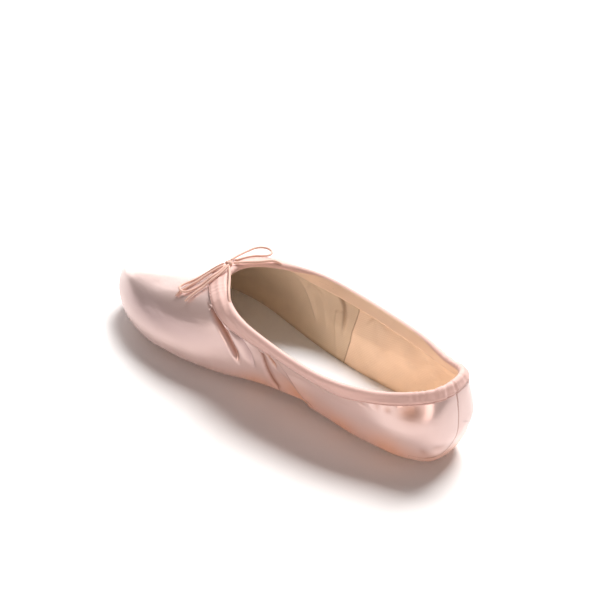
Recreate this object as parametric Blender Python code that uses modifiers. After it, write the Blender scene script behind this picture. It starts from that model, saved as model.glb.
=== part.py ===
"""A pointe shoe: satin upper with a stiff box, drawstring casing and bow, insole and leather outsole.

Metres, +Z up. The toe points along +X and the wearer's left is +Y. The origin is on the floor under the
middle of the shoe's length. Run it in Blender 4.5, from the text editor or in the background.
"""

from math import cos, pi, sin

import bmesh
import bpy
import numpy as np

# Overall sizes of the upper
LENGTH = 0.240  # back of the heel to the platform
BALL_WIDTH = 0.083  # widest place of the box, at the ball
THROAT_REACH = 0.158  # back of the heel to the front of the throat
COLLAR_WIDTH = 0.068  # widest place of the collar, at the waist
COLLAR_HEIGHT = 0.0464  # collar above the sole seam at the back of the heel
BELLY_HEIGHT = 0.022  # widest line of the wall above the sole seam, at the heel
SHOULDER_HEIGHT = 0.022  # upper edge of the platform above the sole seam
EDGE_ROLL = 0.010  # how far the wall rolls in under itself to the sole seam
BOX_CORNER = 0.020  # width of the rounded edge between the box's side and its roof
QUARTER_WALL = 0.0014  # satin and canvas at the sides and heel
BOX_WALL = 0.0026  # pasted layers of the box

# Sole, insole and casing
SOLE_WIDTH = 0.052  # outsole across the ball
SOLE_THICKNESS = 0.0020
SOLE_BEVEL = 0.0005
SEAM_LAP = 0.005  # how far the outsole covers the upper's edge
ARCH_LIFT = 0.0020  # rise of the sole under the waist
TOE_SPRING = 0.0040  # rise of the sole line at the platform
INSOLE_THICKNESS = 0.0018
INSOLE_BEVEL = 0.0002
INSOLE_EASE = 0.0008  # insole's edge inside the wall, besides CLEARANCE
CASING_DEPTH = 0.0090  # casing tape on the outside
CASING_HEEL_DEPTH = 0.0052  # casing tape on the outside of the heel, where it is gathered
CASING_TURN_IN = 0.0054  # casing tape on the inside
CASING_THICKNESS = 0.0008
CASING_EASE = 0.0002  # tape's room over the wall, besides CLEARANCE
CLEARANCE = 0.0003  # between pieces that touch

# Drawstring
CORD_DIAMETER = 0.0014
CORD_STEP = 0.0036  # between two points of a cord's finished line
KNOT_SIZE = (0.0044, 0.0040, 0.0032)
KNOT_PLACE = (0.0025, 0.0008, 0.0026)  # from the front of the throat

# Each cord's line as it lies, in metres from the front of the throat: the strands run from the casing to
# the knot, the others from the knot.
CORDS = {
    "drawstring_left": (
        (-0.0194, 0.0228, 0.0006),
        (-0.0134, 0.0168, 0.0016),
        (-0.0069, 0.0098, 0.0023),
        (0.0006, 0.0027, 0.0025),
    ),
    "drawstring_right": (
        (-0.0145, -0.0195, 0.0014),
        (-0.0095, -0.0137, 0.0020),
        (-0.0045, -0.0075, 0.0024),
        (0.0007, -0.0011, 0.0026),
    ),
    "bow_loop_left": (
        (0.0047, 0.0024, 0.0025),
        (0.0066, 0.0058, 0.0011),
        (0.0092, 0.0112, -0.0015),
        (0.0126, 0.0191, -0.0044),
        (0.0147, 0.0244, -0.0053),
        (0.0144, 0.0276, -0.0053),
        (0.0121, 0.0293, -0.0057),
        (0.0091, 0.0285, -0.0059),
        (0.0064, 0.0255, -0.0048),
        (0.0038, 0.0212, -0.0027),
        (0.0020, 0.0160, 0.0004),
        (0.0013, 0.0108, 0.0015),
        (0.0020, 0.0036, 0.0028),
    ),
    "bow_loop_right": (
        (0.0042, -0.0024, 0.0024),
        (0.0055, -0.0076, 0.0016),
        (0.0066, -0.0146, 0.0004),
        (0.0065, -0.0202, 0.0000),
        (0.0056, -0.0251, -0.0003),
        (0.0033, -0.0278, -0.0005),
        (0.0001, -0.0286, -0.0004),
        (-0.0034, -0.0276, -0.0004),
        (-0.0054, -0.0248, -0.0001),
        (-0.0050, -0.0213, 0.0004),
        (-0.0019, -0.0170, 0.0010),
        (0.0014, -0.0107, 0.0014),
        (0.0024, -0.0041, 0.0023),
    ),
    "bow_end_left": (
        (0.0037, 0.0040, 0.0021),
        (0.0056, 0.0092, 0.0006),
        (0.0084, 0.0173, -0.0026),
        (0.0114, 0.0247, -0.0056),
        (0.0131, 0.0289, -0.0074),
        (0.0136, 0.0318, -0.0090),
    ),
    "bow_end_right": (
        (-0.0004, 0.0040, 0.0045),
        (-0.0013, 0.0078, 0.0035),
        (-0.0011, 0.0120, 0.0021),
        (-0.0002, 0.0170, 0.0006),
        (0.0014, 0.0230, -0.0025),
        (0.0029, 0.0278, -0.0045),
        (0.0044, 0.0314, -0.0070),
        (0.0052, 0.0327, -0.0081),
    ),
}

COLUMNS_PER_ROW = 3  # columns of faces between two rows of the station table

# Each row is a place on the upper's widest outline, from the back of the heel to the middle of the platform.
STATION_COLUMNS = (
    "along",  # share of LENGTH
    "out",  # share of half BALL_WIDTH
    "collar",  # where this column ends on the collar, as a share of the way from heel to throat
    "roll",  # share of EDGE_ROLL
    "belly",  # share of BELLY_HEIGHT
    "corner",  # share of BOX_CORNER
    "shoulder",  # share of SHOULDER_HEIGHT
    "roof",  # 0 for a plain wall, 1 for a wall that turns over into the vamp
    "lean",  # 1 for a wall that runs straight to the collar, 2 for one that bends in near it
    "sole_along",  # outsole's outline, share of LENGTH
    "sole_out",  # outsole's outline, share of half SOLE_WIDTH
)
STATIONS = {
    "heel_back": (0.000, 0.000, 0.000, 1.00, 1.00, 0.50, 1.90, 0.0, 1.90, 0.050, 0.00),
    "heel_round": (0.014, 0.385, 0.070, 1.10, 1.00, 0.50, 1.90, 0.0, 1.85, 0.058, 0.33),
    "heel_corner": (0.064, 0.560, 0.152, 1.05, 1.00, 0.50, 1.90, 0.0, 1.60, 0.095, 0.56),
    "seat": (0.170, 0.640, 0.281, 0.88, 1.00, 0.50, 1.90, 0.0, 1.35, 0.190, 0.64),
    "breast": (0.310, 0.605, 0.459, 0.72, 0.98, 0.50, 1.90, 0.0, 1.15, 0.315, 0.52),
    "waist": (0.440, 0.630, 0.635, 0.72, 0.85, 0.50, 1.90, 0.0, 1.15, 0.440, 0.50),
    "wing": (0.555, 0.800, 0.756, 0.92, 0.66, 0.65, 1.85, 0.5, 1.35, 0.545, 0.66),
    "ball_back": (0.650, 0.945, 0.843, 1.10, 0.54, 1.00, 1.75, 1.0, 1.70, 0.630, 0.87),
    "ball": (0.735, 1.000, 0.904, 1.15, 0.50, 1.10, 1.55, 1.0, 1.95, 0.705, 1.00),
    "ball_front": (0.820, 0.955, 0.940, 1.05, 0.48, 1.00, 1.35, 1.0, 2.00, 0.775, 0.98),
    "tip_side": (0.905, 0.780, 0.960, 0.85, 0.47, 0.80, 1.17, 1.0, 2.00, 0.838, 0.82),
    "tip_corner": (0.965, 0.560, 0.973, 0.65, 0.46, 0.55, 1.05, 1.0, 2.00, 0.880, 0.55),
    "platform_side": (0.993, 0.340, 0.987, 0.48, 0.45, 0.35, 1.00, 1.0, 2.00, 0.899, 0.28),
    "platform": (1.000, 0.000, 1.000, 0.42, 0.45, 0.30, 1.00, 1.0, 2.00, 0.905, 0.00),
}
STATION_ODD = ("out", "collar", "sole_out")

# Each row is a place on the collar line, from the back of the heel to the front of the throat.
COLLAR_COLUMNS = (
    "along",  # share of THROAT_REACH
    "out",  # share of half COLLAR_WIDTH
    "up",  # share of COLLAR_HEIGHT
)
COLLAR = {
    "heel_back": (0.034, 0.00, 1.000),
    "heel_round": (0.052, 0.33, 0.983),
    "heel_corner": (0.125, 0.55, 0.897),
    "seat": (0.260, 0.83, 0.820),
    "breast": (0.460, 1.00, 0.810),
    "waist": (0.660, 0.995, 0.863),
    "wing": (0.795, 0.90, 0.943),
    "throat_side": (0.885, 0.69, 1.011),
    "throat_corner": (0.945, 0.475, 1.046),
    "throat_round": (0.984, 0.26, 1.057),
    "throat": (1.000, 0.00, 1.051),
}
COLLAR_ODD = ("out",)

# Places along the shoe where the sole leaves the floor, as shares of LENGTH.
ARCH_FROM, ARCH_TO = 0.24, 0.64
SPRING_FROM = 0.72

# Places between which the casing tape widens from its depth at the heel, as shares of LENGTH
CASING_WIDENS = (0.16, 0.24)

# Shares of the way up from the belly between which the box's layers end
BOX_LAYERS_END = (0.50, 0.85)

# Rows of faces
UNDER_ROWS = 2
ROLL_ROWS = 4
WALL_ROWS = 11
SOLE_STRIPS = 2
CASING_LEG_ROWS = 4
CASING_TURN_IN_ROWS = 2
CASING_FOLD_ROWS = 3

COLOURS = {
    "satin": ((0.86, 0.66, 0.60), 0.34),
    "casing_tape": ((0.82, 0.60, 0.55), 0.62),
    "sock_lining": ((0.84, 0.83, 0.84), 0.80),
    "sole_leather": ((0.72, 0.56, 0.42), 0.60),
    "drawstring": ((0.90, 0.70, 0.62), 0.65),
}


def clear_scene():
    """Removes what the startup file holds."""
    for obj in list(bpy.data.objects):
        bpy.data.objects.remove(obj)


def material(name):
    """The named finish as a Principled BSDF."""
    found = bpy.data.materials.get(name)
    if found:
        return found
    colour, roughness = COLOURS[name]
    made = bpy.data.materials.new(name)
    made.use_nodes = True
    shader = made.node_tree.nodes["Principled BSDF"]
    shader.inputs["Base Color"].default_value = (*colour, 1.0)
    shader.inputs["Roughness"].default_value = roughness
    shader.inputs["Metallic"].default_value = 0.0
    return made


def mirrored(values, odd):
    """A column of a half table with its mirror image added beyond each end."""
    before, after = values[:0:-1], values[-2::-1]
    if odd:
        before, after = 2 * values[0] - before, 2 * values[-1] - after
    return np.concatenate([before, values, after])


def smooth_curve(knots, values, places):
    """A natural cubic spline through the values, read at the places."""
    steps = np.diff(knots)
    count = len(knots)
    system, right = np.eye(count), np.zeros(count)
    for i in range(1, count - 1):
        system[i, i - 1 : i + 2] = steps[i - 1], 2 * (steps[i - 1] + steps[i]), steps[i]
        slopes = np.diff(values[i - 1 : i + 2]) / steps[i - 1 : i + 1]
        right[i] = 6 * (slopes[1] - slopes[0])
    bend = np.linalg.solve(system, right)
    k = np.clip(np.searchsorted(knots, places, side="right") - 1, 0, count - 2)
    left, rest, step = places - knots[k], knots[k + 1] - places, steps[k]
    ends = values[k] * rest + values[k + 1] * left
    bow = bend[k] * (rest**3 - rest * step**2) + bend[k + 1] * (left**3 - left * step**2)
    return (ends + bow / 6) / step


def half_curve(rows, names, odd, knots, places):
    """Every column of a half table read at the places, as a dict of arrays."""
    table = np.array(list(rows.values()), float)
    spread = mirrored(knots, True)
    return {
        name: smooth_curve(spread, mirrored(table[:, i], name in odd), places)
        for i, name in enumerate(names)
    }


def run_lengths(points):
    """Distance along a line of points, from its first."""
    return np.concatenate([[0.0], np.cumsum(np.linalg.norm(np.diff(points, axis=0), axis=1))])


def smooth_step(low, high, value):
    """0 below low, 1 above high, and a soft rise between them."""
    t = np.clip((value - low) / (high - low), 0, 1)
    return t * t * (3 - 2 * t)


def sole_lift(x):
    """How far the sole line is off the floor at x: an arch under the waist and a spring at the toe."""
    along = x / LENGTH + 0.5
    middle = (ARCH_FROM + ARCH_TO) / 2
    arch = smooth_step(ARCH_FROM, middle, along) * (1 - smooth_step(middle, ARCH_TO, along))
    return ARCH_LIFT * arch + TOE_SPRING * smooth_step(SPRING_FROM, 1.0, along) ** 2


def seam_height(x):
    """Underside of the upper at x, just clear of the outsole."""
    return SOLE_THICKNESS + CLEARANCE + sole_lift(x)


def station_curve():
    """The station table as smooth columns, COLUMNS_PER_ROW to a row."""
    rows = np.array([row[:2] for row in STATIONS.values()], float)
    knots = run_lengths(rows * (LENGTH, BALL_WIDTH / 2))
    count = (len(rows) - 1) * COLUMNS_PER_ROW + 1
    places = np.interp(np.linspace(0, len(rows) - 1, count), np.arange(len(rows)), knots)
    return half_curve(STATIONS, STATION_COLUMNS, STATION_ODD, knots, places)


def collar_line(shares):
    """Points of the collar line at these shares of the way from heel to throat."""
    sizes = (THROAT_REACH, COLLAR_WIDTH / 2, COLLAR_HEIGHT)
    knots = run_lengths(np.array(list(COLLAR.values()), float) * sizes)
    line = half_curve(COLLAR, COLLAR_COLUMNS, COLLAR_ODD, knots, shares * knots[-1])
    x = line["along"] * THROAT_REACH - LENGTH / 2
    return np.column_stack(
        [x, line["out"] * COLLAR_WIDTH / 2, seam_height(x) + line["up"] * COLLAR_HEIGHT]
    )


def inward(outline):
    """Unit vectors across a half outline that runs from heel to toe on the left, pointing inwards."""
    mirror = np.array([1, -1])
    around = np.vstack([outline[1] * mirror, outline, outline[-2] * mirror])
    run = around[2:] - around[:-2]
    run /= np.linalg.norm(run, axis=1)[:, None]
    return np.column_stack([run[:, 1], -run[:, 0]])


def outlines(stations):
    """Plan outlines of the left half: the widest line, the sole seam and the outsole's edge."""
    widest = np.column_stack(
        [(stations["along"] - 0.5) * LENGTH, stations["out"] * BALL_WIDTH / 2]
    )
    seam = widest + inward(widest) * (stations["roll"] * EDGE_ROLL)[:, None]
    sole = np.column_stack(
        [(stations["sole_along"] - 0.5) * LENGTH, stations["sole_out"] * SOLE_WIDTH / 2]
    )
    return widest, seam, sole


def over(plan, heights):
    """Points over a plan line at these heights."""
    return np.column_stack([plan, heights])


def wall_shares(rows_up):
    """Share of the box's extra thickness in each row of the upper, from under the sole to the collar."""
    under = np.zeros(UNDER_ROWS)
    roll = np.sin(np.linspace(0, pi / 2, ROLL_ROWS, endpoint=False))
    wall = 1 - smooth_step(*BOX_LAYERS_END, rows_up)
    return np.concatenate([under, roll, wall])


def upper_rows():
    """The left half of the upper's outer face in rows, and each point's share of the box's layers."""
    stations = station_curve()
    widest, seam, sole = outlines(stations)
    inner_edge = sole + inward(sole) * SEAM_LAP
    inner_edge[[0, -1], 1] = 0.0
    collar = collar_line(stations["collar"])
    base = seam_height(widest[:, 0])
    belly = base + stations["belly"] * BELLY_HEIGHT
    rows = []
    for share in np.linspace(0, 1, UNDER_ROWS, endpoint=False):
        plan = inner_edge + (seam - inner_edge) * share
        rows.append(over(plan, seam_height(plan[:, 0])))
    seam_z = seam_height(seam[:, 0])
    for turn in np.linspace(0, pi / 2, ROLL_ROWS, endpoint=False):
        plan = seam + (widest - seam) * sin(turn)
        rows.append(over(plan, belly - (belly - seam_z) * cos(turn)))
    reach = np.linalg.norm(collar[:, :2] - widest, axis=1)
    corner = np.minimum(stations["corner"] * BOX_CORNER, np.maximum(reach, CLEARANCE))
    shoulder = base + stations["shoulder"] * SHOULDER_HEIGHT
    roofed = np.clip(stations["roof"], 0, 1)
    rises = np.linspace(0, 1, WALL_ROWS)
    for rise in rises:
        run = rise ** stations["lean"]
        plan = widest + (collar[:, :2] - widest) * run[:, None]
        wall = over(plan, belly + (collar[:, 2] - belly) * rise)
        turned = 1 - np.clip(run * reach / corner, 0, 1)
        roof = shoulder + (collar[:, 2] - shoulder) * run**0.85
        vamp = over(plan, belly + (roof - belly) * np.sqrt(1 - turned**2.5))
        rows.append(wall * (1 - roofed)[:, None] + vamp * roofed[:, None])
    return np.array(rows), np.outer(wall_shares(rises), roofed)


def unit(vectors):
    """The vectors at length one."""
    return vectors / np.linalg.norm(vectors, axis=-1, keepdims=True)


def strip_under_collar(rows, depths):
    """Points of the upper's outer face below the collar, one row for each row of depths, and its normals."""
    found = []
    for column, wanted in zip(np.swapaxes(rows, 0, 1), depths.T):
        downwards = column[::-1]
        spread = run_lengths(downwards)
        found.append([np.interp(wanted, spread, downwards[:, axis]) for axis in range(3)])
    strip = np.transpose(np.array(found), (2, 0, 1))
    mirror = np.array([1, -1, 1])
    around = np.concatenate([strip[:, 1:2] * mirror, strip, strip[:, -2:-1] * mirror], axis=1)
    upwards = unit(np.gradient(strip, axis=0))
    return strip, upwards, unit(np.cross(upwards, unit(around[:, 2:] - around[:, :-2])))


def casing_rows():
    """Middle of the casing tape: up the outside of the wall, over its edge and down the inside."""
    rows, _ = upper_rows()
    along = rows[-1, :, 0] / LENGTH + 0.5
    depth = CASING_HEEL_DEPTH + (CASING_DEPTH - CASING_HEEL_DEPTH) * smooth_step(*CASING_WIDENS, along)
    legs = np.linspace(1, 0, CASING_LEG_ROWS + 1)
    strip, upwards, outwards = strip_under_collar(rows, np.outer(legs, depth))
    half = CASING_THICKNESS / 2
    outside = CLEARANCE + CASING_EASE + half
    inside = QUARTER_WALL + outside
    made = list(strip + outwards * outside)
    bend = QUARTER_WALL / 2 + outside
    centre = strip[-1] - outwards[-1] * QUARTER_WALL / 2
    for turn in np.linspace(0, pi, CASING_FOLD_ROWS + 2)[1:-1]:
        made.append(centre + (outwards[-1] * cos(turn) + upwards[-1] * sin(turn)) * bend)
    legs = np.linspace(1, 0, CASING_TURN_IN_ROWS + 1)
    strip, _, outwards = strip_under_collar(rows, np.outer(legs, np.full_like(depth, CASING_TURN_IN)))
    made.extend((strip - outwards * inside)[::-1])
    made = np.array(made)
    made[:, [0, -1], 1] = 0.0
    return made


def mesh_object(name, rows, finish, collection, layers=None):
    """An object whose faces join neighbouring rows of points; layers go to the vertex group for its wall."""
    rows = np.array(rows)
    rows[..., 1] = np.where(np.abs(rows[..., 1]) < 1e-7, 0.0, rows[..., 1])
    shape = bmesh.new()
    weights = shape.verts.layers.deform.verify()
    made = []
    for i, row in enumerate(rows):
        made.append([shape.verts.new(point) for point in row])
        for j, vert in enumerate(made[i]):
            vert[weights][0] = 1.0 if layers is None else float(layers[i, j])
    for low, high in zip(made, made[1:]):
        for j in range(len(low) - 1):
            shape.faces.new((low[j], high[j], high[j + 1], low[j + 1]))
    bmesh.ops.remove_doubles(shape, verts=shape.verts, dist=1e-6)
    mesh = bpy.data.meshes.new(name)
    shape.to_mesh(mesh)
    shape.free()
    mesh.shade_smooth()
    mesh.materials.append(material(finish))
    obj = bpy.data.objects.new(name, mesh)
    obj.vertex_groups.new(name="layers")
    collection.objects.link(obj)
    mirror = obj.modifiers.new("other_half", "MIRROR")
    mirror.use_axis = (False, True, False)
    mirror.use_clip = True
    mirror.merge_threshold = 0.00001
    return obj


def add_wall(obj, thickness, offset, least_share=None):
    """Gives an open surface its thickness, thinner where its layers end."""
    wall = obj.modifiers.new("wall", "SOLIDIFY")
    wall.thickness = thickness
    wall.offset = offset
    wall.use_even_offset = True
    if least_share is not None:
        wall.vertex_group = "layers"
        wall.thickness_vertex_group = least_share
    return obj


def make_upper(collection):
    """The hollow upper: one wall, open at the collar and under the foot."""
    rows, layers = upper_rows()
    obj = mesh_object("upper", rows, "satin", collection, layers)
    return add_wall(obj, BOX_WALL, -1, QUARTER_WALL / BOX_WALL)


def make_casing(collection):
    """The casing tape over the collar, just clear of the upper inside and out."""
    obj = mesh_object("collar_binding", casing_rows(), "casing_tape", collection)
    return add_wall(obj, CASING_THICKNESS, 0)


def plate_rows(lower, upper, low, high, bevel):
    """Rows round a flat piece, from the middle of its underside over its edge to the middle of its top."""
    shrunk_top = upper + inward(upper) * bevel
    shrunk_low = lower + inward(lower) * bevel
    rows = []
    for share in np.linspace(0, 1, SOLE_STRIPS + 1):
        plan = shrunk_top * (1, share)
        rows.append(over(plan, high(plan[:, 0])))
    rows.append(over(upper, high(upper[:, 0]) - bevel))
    rows.append(over(lower, low(lower[:, 0]) + bevel))
    for share in np.linspace(1, 0, SOLE_STRIPS + 1):
        plan = shrunk_low * (1, share)
        rows.append(over(plan, low(plan[:, 0])))
    rows = np.array(rows[::-1])
    rows[:, [0, -1], 1] = 0.0
    return rows


def make_outsole(collection):
    """The leather sole: a thin plate that touches the floor at the heel and the ball."""
    _, _, sole = outlines(station_curve())
    rows = plate_rows(sole, sole, sole_lift, lambda x: sole_lift(x) + SOLE_THICKNESS, SOLE_BEVEL)
    return mesh_object("outsole", rows, "sole_leather", collection)


def insole_outline(stations, widest, seam, height):
    """The upper's inner face in plan at this height above the sole seam, less the clearance."""
    tall = stations["belly"] * BELLY_HEIGHT
    wide = stations["roll"] * EDGE_ROLL
    walls = QUARTER_WALL + (BOX_WALL - QUARTER_WALL) * np.clip(stations["roof"], 0, 1)
    drop = np.clip((tall - height) / (tall - QUARTER_WALL - CLEARANCE), 0, 1)
    spread = (wide - walls - CLEARANCE) * np.sqrt(1 - drop**2) - INSOLE_EASE
    return seam - inward(widest) * spread[:, None]


def make_insole(collection):
    """The insole: a plate on the upper's turned edge, its own edge sloped like the wall beside it."""
    stations = station_curve()
    widest, seam, _ = outlines(stations)
    under = QUARTER_WALL + CLEARANCE
    lower = insole_outline(stations, widest, seam, under)
    upper = insole_outline(stations, widest, seam, under + INSOLE_THICKNESS)
    lower[[0, -1], 1] = 0.0
    upper[[0, -1], 1] = 0.0
    rows = plate_rows(
        lower,
        upper,
        lambda x: seam_height(x) + under,
        lambda x: seam_height(x) + under + INSOLE_THICKNESS,
        INSOLE_BEVEL,
    )
    return mesh_object("insole", rows, "sock_lining", collection)


def make_knot(collection):
    """The bow's knot, resting on the casing."""
    shape = bmesh.new()
    bmesh.ops.create_uvsphere(shape, u_segments=16, v_segments=8, radius=0.5)
    bmesh.ops.scale(shape, vec=KNOT_SIZE, verts=shape.verts)
    mesh = bpy.data.meshes.new("bow_knot")
    shape.to_mesh(mesh)
    shape.free()
    mesh.shade_smooth()
    mesh.materials.append(material("drawstring"))
    knot = bpy.data.objects.new("bow_knot", mesh)
    knot.location = collar_line(np.ones(1))[0] + KNOT_PLACE
    collection.objects.link(knot)
    return knot


def make_cord(name, places, collection):
    """A cord of the drawstring along a smooth line through its places."""
    places = collar_line(np.ones(1))[0] + places
    spread = run_lengths(places)
    count = int(np.ceil(spread[-1] / CORD_STEP)) + 1
    even = np.linspace(0, spread[-1], count)
    line = np.column_stack([smooth_curve(spread, places[:, axis], even) for axis in range(3)])
    curve = bpy.data.curves.new(name, "CURVE")
    curve.dimensions = "3D"
    curve.bevel_depth = CORD_DIAMETER / 2
    curve.bevel_resolution = 2
    curve.use_fill_caps = True
    spline = curve.splines.new("POLY")
    spline.points.add(count - 1)
    for point, place in zip(spline.points, line):
        point.co = (*place, 1.0)
    curve.materials.append(material("drawstring"))
    cord = bpy.data.objects.new(name, curve)
    collection.objects.link(cord)
    return cord


def main():
    """Builds every piece into one collection."""
    clear_scene()
    collection = bpy.data.collections.new("pointe_shoe")
    bpy.context.scene.collection.children.link(collection)
    make_upper(collection)
    make_outsole(collection)
    make_insole(collection)
    make_casing(collection)
    make_knot(collection)
    for name, places in CORDS.items():
        make_cord(name, places, collection)


main()
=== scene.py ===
"""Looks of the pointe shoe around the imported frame: cloth, tape, bow, sole, camera and light.

Everything is in metres in the frame's own axes: the toe points along +X, the wearer's left is +Y, +Z is up
and the floor is z = 0.
"""

import logging
import math
from dataclasses import dataclass, replace
from enum import Enum
from typing import Callable

import bpy
import numpy as np
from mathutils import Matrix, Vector


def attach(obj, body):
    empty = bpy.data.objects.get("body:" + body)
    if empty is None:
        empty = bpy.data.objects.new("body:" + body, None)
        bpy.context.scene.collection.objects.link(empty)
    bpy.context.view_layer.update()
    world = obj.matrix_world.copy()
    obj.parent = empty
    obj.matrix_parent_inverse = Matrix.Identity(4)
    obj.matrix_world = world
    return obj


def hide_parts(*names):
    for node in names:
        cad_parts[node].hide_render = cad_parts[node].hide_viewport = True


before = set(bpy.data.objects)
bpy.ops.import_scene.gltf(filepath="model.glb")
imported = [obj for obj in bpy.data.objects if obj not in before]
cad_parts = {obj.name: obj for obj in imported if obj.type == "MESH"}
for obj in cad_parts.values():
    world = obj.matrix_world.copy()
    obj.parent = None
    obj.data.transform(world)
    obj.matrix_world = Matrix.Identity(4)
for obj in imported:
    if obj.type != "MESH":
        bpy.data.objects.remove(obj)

LOG = logging.getLogger("pointe_shoe")
BODY = "root"
MILLIMETRE = 0.001
WELD = 0.000002


class Side(Enum):
    """The two sides of the shoe, with the sign of their Y."""

    LEFT = 1
    RIGHT = -1


# Shape of the last


def mirrored(values: np.ndarray, odd: bool) -> np.ndarray:
    """Adds the mirror image of a half table's column beyond each end.

    Args:
        values: The column, from the heel to the toe.
        odd: Whether the column changes its sign across the middle.

    Returns:
        The longer column.
    """
    before, after = values[:0:-1], values[-2::-1]
    if odd:
        before, after = 2 * values[0] - before, 2 * values[-1] - after
    return np.concatenate([before, values, after])


def smooth_curve(knots: np.ndarray, values: np.ndarray, places: np.ndarray) -> np.ndarray:
    """Reads a natural cubic spline.

    Args:
        knots: Rising places of the given values.
        values: The values there.
        places: Where the curve is read.

    Returns:
        The curve's values at the places.
    """
    steps = np.diff(knots)
    count = len(knots)
    system, right = np.eye(count), np.zeros(count)
    for i in range(1, count - 1):
        system[i, i - 1 : i + 2] = steps[i - 1], 2 * (steps[i - 1] + steps[i]), steps[i]
        slopes = np.diff(values[i - 1 : i + 2]) / steps[i - 1 : i + 1]
        right[i] = 6 * (slopes[1] - slopes[0])
    bend = np.linalg.solve(system, right)
    k = np.clip(np.searchsorted(knots, places, side="right") - 1, 0, count - 2)
    left, rest, step = places - knots[k], knots[k + 1] - places, steps[k]
    ends = values[k] * rest + values[k + 1] * left
    bow = bend[k] * (rest**3 - rest * step**2) + bend[k + 1] * (left**3 - left * step**2)
    return (ends + bow / 6) / step


def run_lengths(points: np.ndarray) -> np.ndarray:
    """Distance along a line of points, from its first."""
    return np.concatenate([[0.0], np.cumsum(np.linalg.norm(np.diff(points, axis=0), axis=1))])


def smooth_step(low: float, high: float, value: np.ndarray) -> np.ndarray:
    """0 below low, 1 above high, and a soft rise between them."""
    t = np.clip((value - low) / (high - low), 0, 1)
    return t * t * (3 - 2 * t)


def unit(vectors: np.ndarray) -> np.ndarray:
    """The vectors at length one."""
    return vectors / np.maximum(np.linalg.norm(vectors, axis=-1, keepdims=True), 1e-12)


def grid_normals(points: np.ndarray) -> np.ndarray:
    """Unit normals of a closed ring of columns.

    Args:
        points: Rows of points whose columns run once round the shoe, the first column repeated at the end.

    Returns:
        One normal per point, pointing out of the shoe.
    """
    ring = points[:, :-1]
    along = np.roll(ring, -1, axis=1) - np.roll(ring, 1, axis=1)
    across = np.gradient(ring, axis=0)
    normals = unit(np.cross(across, along))
    return np.concatenate([normals, normals[:, :1]], axis=1)


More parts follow.
